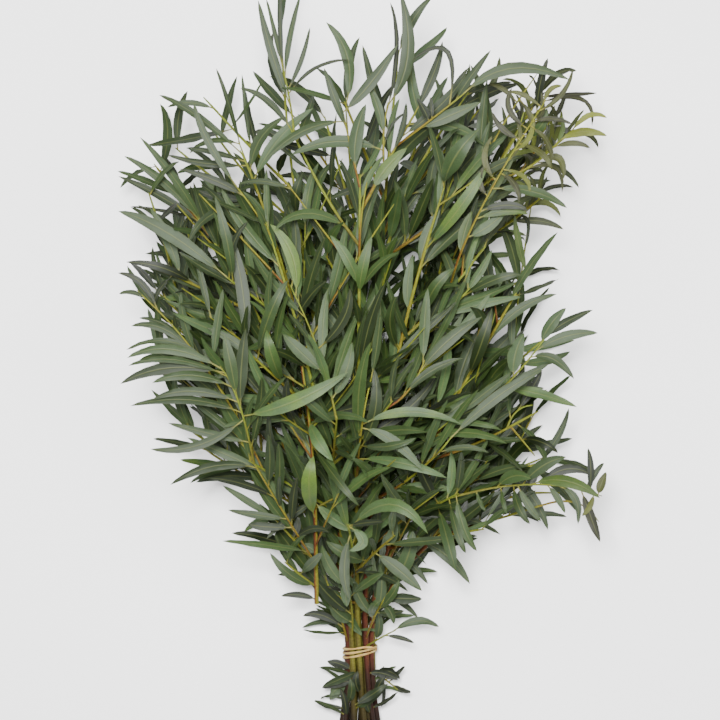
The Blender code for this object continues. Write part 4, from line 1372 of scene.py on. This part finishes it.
def behind(spot, z):
    """The point at a given height that shows at a spot of the picture."""
    scale = (CAMERA_HEIGHT - z) / PIXELS
    across = (spot[0] - PICTURE_MIDDLE) * scale
    return Vector((across, CAMERA_ALONG + (PICTURE_MIDDLE - spot[1]) * scale, z))


def through(first, middle, last, share):
    """A point on the plain arch that passes through three points."""
    pull = middle * 2.0 - (first + last) * 0.5
    rest = 1.0 - share
    return first * rest * rest + pull * (2.0 * rest * share) + last * share * share


def anchors(bars):
    """Points along all bars that a twig or leaf can be rooted on, with where they show."""
    found = []
    for bar in bars:
        length = path_length(bar.points)
        count = max(2, int(length / ROOT_STEP))
        for step in range(1, count):
            point = smooth_point(bar.points, step / count)[0]
            found.append((bar, point, seen(point)))
    return found


def roots_near(found, spot, wide, ease):
    """The best few places to root on for a spot of the picture: near it, and near the top."""
    picks = []
    for bar, point, shows in found:
        away = float(numpy.linalg.norm(shows - spot))
        if away < wide:
            picks.append((ease * away * MM - point.z, bar, point))
    picks.sort(key=lambda pick: pick[0])
    kept = []
    for _, bar, point in picks:
        if all((point - other).length > ROOT_SPACING for _, other in kept):
            kept.append((bar, point))
    return kept[:ROOTS_TRIED]


def rising(first, marks, rise, arch, length):
    """The middle and end of a twig or leaf that starts at a point and climbs by a share."""
    height = max(LOWEST_END, min(first.z + rise * length, HIGHEST_END))
    beside = (seen(first) - numpy.array(marks[0])) * BEND_FOLLOWS_ROOT
    bend = numpy.array(marks[1]) + beside
    return behind(bend, blend(first.z, height, arch)), behind(marks[2], height)


def hidden_parts(line, spots, heights, gap):
    """At how many places along a line others pass over it in the picture."""
    parts = 0
    for point in line:
        over = (numpy.abs(spots - seen(point)).max(axis=1) < gap) & (heights > point.z)
        parts += int(over.any())
    return parts


def front_twig(roots, marks, spots, heights):
    """Of the twigs set by three marks of the picture that lie clear, the one that shows best."""
    length = math.dist(marks[0], marks[2]) * MM
    shares = [step / FRONT_TWIG_STEPS for step in range(FRONT_TWIG_STEPS + 1)]
    radii = [blend(*FRONT_TWIG_RADII, share) for share in shares]
    best = None
    fewest = len(shares)
    for bar, root in roots:
        for rise in RISES:
            for arch in ARCHES:
                middle, end = rising(root, marks, rise, arch, length)
                points = [through(root, middle, end, share) for share in shares]
                for point in points[1:]:
                    point.z = rest_height(point.z, FRONT_TWIG_FLOOR, TWIG_FLOOR_BEND)
                parts = hidden_parts(points[1:], spots, heights, TWIG_COVER)
                if parts >= fewest:
                    continue
                twig = Bar(bar.branch, "twig %d" % len(thicket.pieces), points, radii, TWIG_SIDES)
                if thicket.blocks(lambda first: twig.solid(FRONT_CLEARANCE, first), bar):
                    continue
                best = twig
                fewest = parts
                if not parts:
                    return best
    return best


def front_line(root, marks, rise, arch, length, lean):
    """The line of a leaf set by three marks of the picture, with its face turned upwards."""
    middle, end = rising(root, marks, rise, arch, length)
    line = []
    for step in range(LEAF_STEPS + 1):
        point = through(root, middle, end, step / LEAF_STEPS)
        after = through(root, middle, end, step / LEAF_STEPS + 0.01)
        way = (after - point).normalized()
        line.append((point, way, (lean - way * lean.dot(way)).normalized()))
    return line


def front_is_sound(line, width):
    """False for a front leaf that would turn over on itself."""
    length = path_length([point for point, _, _ in line])
    full = FRONT_VOLUME * length * width * LEAF_THICKNESS
    turned = any(first[2].dot(second[2]) < FRONT_BEND for first, second in zip(line, line[1:]))
    return not turned and solid_volume(leaf_mesh(line, width)) > full


def front_leaf(roots, marks, full, length, lean, spots, heights):
    """Of the leaves set by three marks of the picture that lie clear, the one that shows best."""
    best = None
    fewest = len(SHOWN_STEPS) + 1
    for width in (full, full * SLIMMER):
        for bar, root in roots:
            for rise in RISES:
                for arch in ARCHES:
                    line = front_line(root, marks, rise, arch, length, lean)
                    middles = [line[step][0] for step in SHOWN_STEPS]
                    parts = hidden_parts(middles, spots, heights, LEAF_COVER)
                    if parts >= fewest or not front_is_sound(line, width):
                        continue
                    if thicket.blocks(lambda first: leaf_mesh(line, width, FRONT_CLEARANCE, first), bar):
                        continue
                    best = (bar, line, width)
                    fewest = parts
                    if not parts:
                        return best
        if best is not None:
            return best
    return best


spots = numpy.array([seen(part[0]) for leaf in leaves for part in leaf[1][2:]])
heights = numpy.array([part[0].z for leaf in leaves for part in leaf[1][2:]])
found = anchors(stems + twigs)
front_twigs = []
for ax, ay, bx, by, cx, cy in FRONT_TWIGS:
    roots = roots_near(found, (ax, ay), TWIG_ROOT_SEARCH, TWIG_ROOT_EASE)
    twig = front_twig(roots, ((ax, ay), (bx, by), (cx, cy)), spots, heights)
    if twig is not None:
        thicket.add(twig.solid(), twig.name)
        front_twigs.append(twig)
add_fine_twigs(front_twigs, 240)

found = anchors(stems + twigs + front_twigs)
fronts = []
for number, (ax, ay, bx, by, cx, cy, across, tint) in enumerate(FRONT_LEAVES):
    lean = Vector((noise(number, 2) - 0.5, noise(number, 4) - 0.5, 1.3)).normalized()
    length = math.hypot(cx - ax, cy - ay) * MM
    marks = ((ax, ay), (bx, by), (cx, cy))
    roots = roots_near(found, (ax, ay), LEAF_ROOT_SEARCH, LEAF_ROOT_EASE)
    leaf = front_leaf(roots, marks, across * MM * FRONT_WIDTH, length, lean, spots, heights)
    if leaf is not None:
        bar, line, width = leaf
        add_leaf(line, width)
        leaves.append((bar, line, width, tint))
        fronts.append(line)

# Finer twigs between the first ones, and the rest of the leaves, thin and close together. They
# are grown by the same rule and fill the bunch where it looks thick, and none of them hides a
# leaf that stands out at the front.

# Where the bunch looks thick: a height in the picture and the left and right edge there
THICK = (
    (64, 470, 540), (100, 464, 560), (132, 440, 552), (152, 410, 546), (172, 214, 543),
    (190, 176, 541), (220, 180, 500), (250, 150, 467), (280, 138, 518), (310, 152, 520),
    (340, 150, 519), (370, 164, 534), (400, 190, 530), (430, 208, 518), (460, 243, 540),
    (490, 260, 548), (506, 263, 476), (520, 265, 452), (550, 278, 444), (580, 302, 410),
    (610, 316, 402), (640, 334, 384), (670, 335, 385), (730, 328, 388),
)
MORE_TWIG_COUNT = 60
MORE_TWIG_ENDS = (1.0 * MM, 0.6 * MM)
MORE_FIRST = (104.0 * MM, 9.0 * MM)
MORE_SPACING = (17.0 * MM, 12.0 * MM)
YOUNG_SPACING = (9.0 * MM, 7.0 * MM)
MORE_MARGIN = 16.0 * MM
MORE_HABIT = {
    "lengths": (74.0 * MM, 124.0 * MM),
    "widths": (0.098, 0.135),
    "angles": (8.0, 38.0),
    "sickle": 26.0,
    "droop": 20.0,
    "young size": 0.5,
    "young curl": 3.4,
    "clearance": 0.06 * MM,
}
THICK_MARGIN = 5.0
YOUNG_CORNER = (492.0, 248.0)
COVER_STEPS = slice(2, 12)
COVER_GAP = 7.5


def looks_thick(point, margin):
    """Whether a point shows inside the thick part of the bunch."""
    x, y = seen(point)
    if y < THICK[0][0]:
        return False
    for high, low in zip(THICK, THICK[1:]):
        if y <= low[0]:
            share = (y - high[0]) / (low[0] - high[0])
            left = blend(high[1], low[1], share)
            right = blend(high[2], low[2], share)
            return left - margin < x < right + margin
    return False


def within_thick(point, margin=0.0):
    """Whether a point lies in the head and shows in its thick part too."""
    return within_reach(point, margin) and looks_thick(point, THICK_MARGIN)


def is_in_the_way(bar, line):
    """Whether a leaf covers one at the front, or is full grown among the young growth."""
    x, y = seen(line[LEAF_MIDDLE][0])
    if x > YOUNG_CORNER[0] and y < YOUNG_CORNER[1] and bar.branch not in YOUNG:
        return True
    for point, _, _ in line[COVER_STEPS]:
        near = numpy.linalg.norm(front_spots - seen(point), axis=1) < COVER_GAP
        if (near & (front_heights < point.z)).any():
            return True
    return False


more_twigs = grow_twigs(
    twigs + front_twigs, MORE_TWIG_COUNT, within_thick, MORE_MARGIN, MORE_TWIG_ENDS
)
add_fine_twigs(more_twigs, 140)
bars = stems + twigs + front_twigs + more_twigs
young_bars = [bar for bar in bars if bar.branch in YOUNG]
places = leaf_places(bars, MORE_FIRST, MORE_SPACING)
places += leaf_places(young_bars, MORE_FIRST, YOUNG_SPACING)
more = grow_leaves(places, within_thick, MORE_HABIT)
front_points = [line[step][0] for line in fronts for step in SHOWN_STEPS]
front_spots = numpy.array([seen(point) for point in front_points])
front_heights = numpy.array([point.z for point in front_points])
leaves += [leaf for leaf in more if not is_in_the_way(leaf[0], leaf[1])]

# The finished leaves: one blade is made flat, a four-sided rod with its rings drawn together to
# a folded lance with a pointed tip. Each leaf is a copy of it, bent along its own line, and the
# leaves of a branch are joined in one piece.
BLADE_RINGS = 12
BLADE_SHARES = (0.0, 0.045, 0.1, 0.16, 0.25, 0.36, 0.48, 0.6, 0.72, 0.83, 0.93, 1.0)
blade = rod("leaf", 4, BLADE_RINGS)
bpy.ops.object.mode_set(mode="EDIT")
bpy.ops.mesh.select_all(action="DESELECT")
bpy.ops.object.mode_set(mode="OBJECT")
for vertex in blade.data.vertices:
    ring = int(round((vertex.co.z + 0.5) * (BLADE_RINGS - 1)))
    vertex.co.z = BLADE_SHARES[ring]
    vertex.select = ring == BLADE_RINGS - 1
bpy.ops.object.mode_set(mode="EDIT")
bpy.ops.mesh.select_mode(type="VERT")
bpy.ops.mesh.merge(type="CENTER")
bpy.ops.object.mode_set(mode="OBJECT")
for face in blade.data.polygons:
    for loop in face.loop_indices:
        spot = blade.data.vertices[blade.data.loops[loop].vertex_index].co
        blade.data.uv_layers.active.data[loop].uv = (0.5 + 0.5 * spot.x, spot.z)

BLADE_THICKNESS = 0.42 * MM
BLADE_FOLD = 0.13
STALK_THICKER = 1.6
RIPPLE_DEPTHS = (0.35 * MM, 0.5 * MM)
RIPPLE_BEATS = (14.0, 10.0)
PALEST_GROWN = 0.85
DARKEST_TINT = 0.12
DARKEST_LEAF_SHADE = 0.08
HEAD_MIDDLE = (365.0, 400.0)
HEAD_SQUASH = 0.8
PAINTED_SHADE_FROM = 85.0
PAINTED_SHADE_WIDTH = 120.0
PAINTED_EDGE_SHADE = 0.46
YOUNG_FROM = (480.0, 222.0)
YOUNG_FADE = (50.0, 40.0)
YOUNG_TONES = (0.35, 0.65)
YOUNGEST = 0.9


def leaf_tone(line, number, tint):
    """How pale, how light and how young a leaf is; painted shade darkens the edges of the head and the
    darkest listed leaves.
    """
    x, y = seen(line[LEAF_MIDDLE][0])
    light = noise(number, 5)
    if tint is None:
        hue = noise(number, 1) * PALEST_GROWN
        corner = part_way(x, YOUNG_FROM[0], YOUNG_FADE[0])
        corner *= 1.0 - part_way(y, YOUNG_FROM[1], YOUNG_FADE[1])
        young = YOUNGEST * corner * (YOUNG_TONES[0] + YOUNG_TONES[1] * noise(number, 11))
    elif tint > 1.0:
        hue = tint - 1.0
        young = 1.0
    else:
        hue = tint
        young = 0.0
        # Painted shade: the darkest listed leaves, deep in the bunch, are made darker still.
        if tint < DARKEST_TINT:
            light *= DARKEST_LEAF_SHADE
    # Painted shade: leaves further from the middle of the head are made darker, as if less lit there.
    away = math.hypot(x - HEAD_MIDDLE[0], (y - HEAD_MIDDLE[1]) * HEAD_SQUASH)
    light *= 1.0 - PAINTED_EDGE_SHADE * part_way(away, PAINTED_SHADE_FROM, PAINTED_SHADE_WIDTH)
    return hue, light, young


def fine_leaf(line, width, number, tint):
    """A copy of the blade, bent along its own line."""
    piece = blade.copy()
    piece.data = blade.data.copy()
    bpy.context.scene.collection.objects.link(piece)
    sections = {}
    own = noise(number, 1)
    wave = RIPPLE_DEPTHS[0] + RIPPLE_DEPTHS[1] * noise(number, 7)
    beat = RIPPLE_BEATS[0] + RIPPLE_BEATS[1] * noise(number, 9)
    for vertex in piece.data.vertices:
        share = vertex.co.z
        if share not in sections:
            sections[share] = leaf_section(line, share * LEAF_STEPS, width)
        centre, across, facing, half = sections[share]
        side = vertex.co.x
        stalk = part_way(share, 0.05, 0.08)
        if share >= 1.0:
            vertex.co = centre
            continue
        ripple = math.sin(share * beat + own * 6.0 + (1.5 if side > 0.0 else 0.0)) * wave * stalk
        lift = abs(side) * (half * BLADE_FOLD + ripple) - blend(0.2, 0.55, stalk) * MM
        depth = BLADE_THICKNESS * blend(STALK_THICKER, 1.0, stalk)
        under = -depth * vertex.co.y if vertex.co.y < 0.0 else 0.0
        spot = centre - across * (side * half) + facing * (lift - under)
        spot.z = max(spot.z, 0.0)
        vertex.co = spot
    paint_tone(piece, [leaf_tone(line, number, tint)] * len(piece.data.vertices))
    return piece


leaf_parts = {}
for number, (bar, line, width, tint) in enumerate(leaves):
    leaf_parts.setdefault(bar.branch, []).append(fine_leaf(line, width, number, tint))
bpy.data.objects.remove(blade, do_unlink=True)


def joined(parts, name):
    """Several parts made one piece."""
    for thing in bpy.context.selected_objects:
        thing.select_set(False)
    for part in parts:
        part.select_set(True)
    bpy.context.view_layer.objects.active = parts[0]
    bpy.ops.object.join()
    piece = bpy.context.active_object
    piece.name = name
    piece.data.name = name
    bpy.ops.object.shade_smooth_by_angle(angle=math.radians(50.0))
    return piece


leaf_green, tree, shader = nodes_of("grey-green leaf", 0.55)
parts = tone_parts(tree)
grain = clouded(tree, on_object(tree), 900.0, 3.0)
hue = swayed(tree, parts["Red"], clouded(tree, on_object(tree), 55.0, 3.0), 0.5)
green = ramp(tree, hue, (
    (0.0, (0.009, 0.018, 0.003)),
    (0.3, (0.015, 0.031, 0.005)),
    (0.55, (0.022, 0.043, 0.009)),
    (0.8, (0.031, 0.058, 0.019)),
    (1.0, (0.052, 0.088, 0.012)),
))
fresh = ramp(tree, hue, (
    (0.1, (0.018, 0.02, 0.003)),
    (0.5, (0.05, 0.058, 0.004)),
    (0.85, (0.13, 0.15, 0.008)),
))
green = mix(tree, parts["Blue"], green, fresh)
# How light each leaf is: random tone, with painted shade towards the edges of the head and on the
# darkest listed leaves.
lit = ramp(tree, parts["Green"], (
    (0.0, (0.28, 0.26, 0.2)),
    (0.1, (0.5, 0.5, 0.45)),
    (0.35, (0.7, 0.7, 0.67)),
    (0.7, (0.98, 0.98, 0.97)),
    (1.0, (1.24, 1.22, 1.22)),
))
green = mix(tree, 1.0, green, lit, "MULTIPLY")
speck = ramp(tree, grain, ((0.35, (0.82, 0.84, 0.82)), (0.65, (1.12, 1.1, 1.08))))
green = mix(tree, 1.0, green, speck, "MULTIPLY")
uv = add_node(tree, "ShaderNodeUVMap", uv_map="UVMap")
split = add_node(tree, "ShaderNodeSeparateXYZ")
tree.links.new(uv.outputs["UV"], split.inputs["Vector"])
off_middle = maths(tree, "ABSOLUTE", maths(tree, "SUBTRACT", split.outputs["X"], 0.5))
from_middle = maths(tree, "MULTIPLY", off_middle, 2.0)
rib = ramp(tree, from_middle, ((0.05, (1.0, 1.0, 1.0)), (0.14, (0.0, 0.0, 0.0))))
vein_beat = maths(tree, "MULTIPLY", split.outputs["Y"], 210.0)
vein_slant = maths(tree, "MULTIPLY", from_middle, 34.0)
veins = maths(tree, "SINE", maths(tree, "SUBTRACT", vein_beat, vein_slant))
vein_tint = ramp(tree, veins, ((0.55, (1.0, 1.0, 1.0)), (1.0, (1.14, 1.16, 1.1))))
green = mix(tree, 1.0, green, vein_tint, "MULTIPLY")
margin = ramp(tree, from_middle, ((0.93, (0.0, 0.0, 0.0)), (1.0, (1.0, 1.0, 1.0))))
green = mix(tree, maths(tree, "MULTIPLY", margin, 0.3), green, (0.07, 0.065, 0.015))
green = mix(tree, maths(tree, "MULTIPLY", rib, 0.4), green, (0.08, 0.09, 0.022))
stalk = ramp(tree, split.outputs["Y"], ((0.05, (1.0, 1.0, 1.0)), (0.14, (0.0, 0.0, 0.0))))
green = mix(tree, maths(tree, "MULTIPLY", stalk, 0.85), green, (0.13, 0.12, 0.015))
tree.links.new(green, shader.inputs["Base Color"])
height = maths(tree, "ADD", maths(tree, "MULTIPLY", veins, 0.12), maths(tree, "MULTIPLY", rib, 0.8))
bumped(tree, shader, height, 0.3 * MM, 0.5)
shader.inputs["Specular IOR Level"].default_value = 0.28

for branch, name in enumerate(BRANCH_NAMES):
    finished(joined(wood_parts[branch], name + "_wood"), bark, name)
    finished(joined(leaf_parts[branch], name + "_leaves"), leaf_green, name)

# The floor: a plain pale painted surface that the bunch lies on. It is the stage, not a part of
# the bunch.
FLOOR_SIZE = 12.0
bpy.ops.mesh.primitive_plane_add(size=FLOOR_SIZE, location=(0.0, 0.0, 0.0))
floor = bpy.context.active_object
floor.name = "floor"
floor_paint, tree, shader = nodes_of("pale floor", 0.9)
grain = clouded(tree, on_object(tree), 3.0, 2.0)
pale = ramp(tree, grain, ((0.3, (0.9, 0.9, 0.9)), (0.7, (0.93, 0.93, 0.93))))
tree.links.new(pale, shader.inputs["Base Color"])
floor.data.materials.append(floor_paint)

# The camera looks straight down on the bunch, with the tie at the foot of the picture, as the
# photograph is framed. The light comes from a lamp over the bunch, a larger and softer one at
# each side, and a pale room.
SENSOR_WIDTH = 36.0
LAMPS_AIM = Vector((0.0, 0.1, 0.1))
ROOM_LIGHT = 0.5
eye = bpy.data.cameras.new("camera")
eye.sensor_width = SENSOR_WIDTH
eye.lens = SENSOR_WIDTH * PIXELS / (2.0 * PICTURE_MIDDLE)
camera = bpy.data.objects.new("camera", eye)
bpy.context.scene.collection.objects.link(camera)
camera.location = (TIE_MIDDLE.x, CAMERA_ALONG + TIE_MIDDLE.y, CAMERA_HEIGHT)
bpy.context.scene.camera = camera

for name, spot, size, power in (
    ("lamp over the bunch", (-0.1, 0.22, 1.95), 0.4, 112.0),
    ("soft lamp at the left", (-1.7, 0.6, 1.5), 1.4, 24.0),
    ("soft lamp at the right", (1.7, -0.3, 1.5), 1.4, 34.0),
):
    light = bpy.data.lights.new(name, "AREA")
    light.shape = "DISK"
    light.size = size
    light.energy = power
    lamp = bpy.data.objects.new(name, light)
    bpy.context.scene.collection.objects.link(lamp)
    lamp.location = spot
    lamp.rotation_euler = (LAMPS_AIM - Vector(spot)).to_track_quat("-Z", "Y").to_euler()

world = bpy.data.worlds.new("pale room")
world.use_nodes = True
air = world.node_tree.nodes["Background"]
air.inputs["Color"].default_value = (1.0, 1.0, 1.0, 1.0)
air.inputs["Strength"].default_value = ROOM_LIGHT
bpy.context.scene.world = world
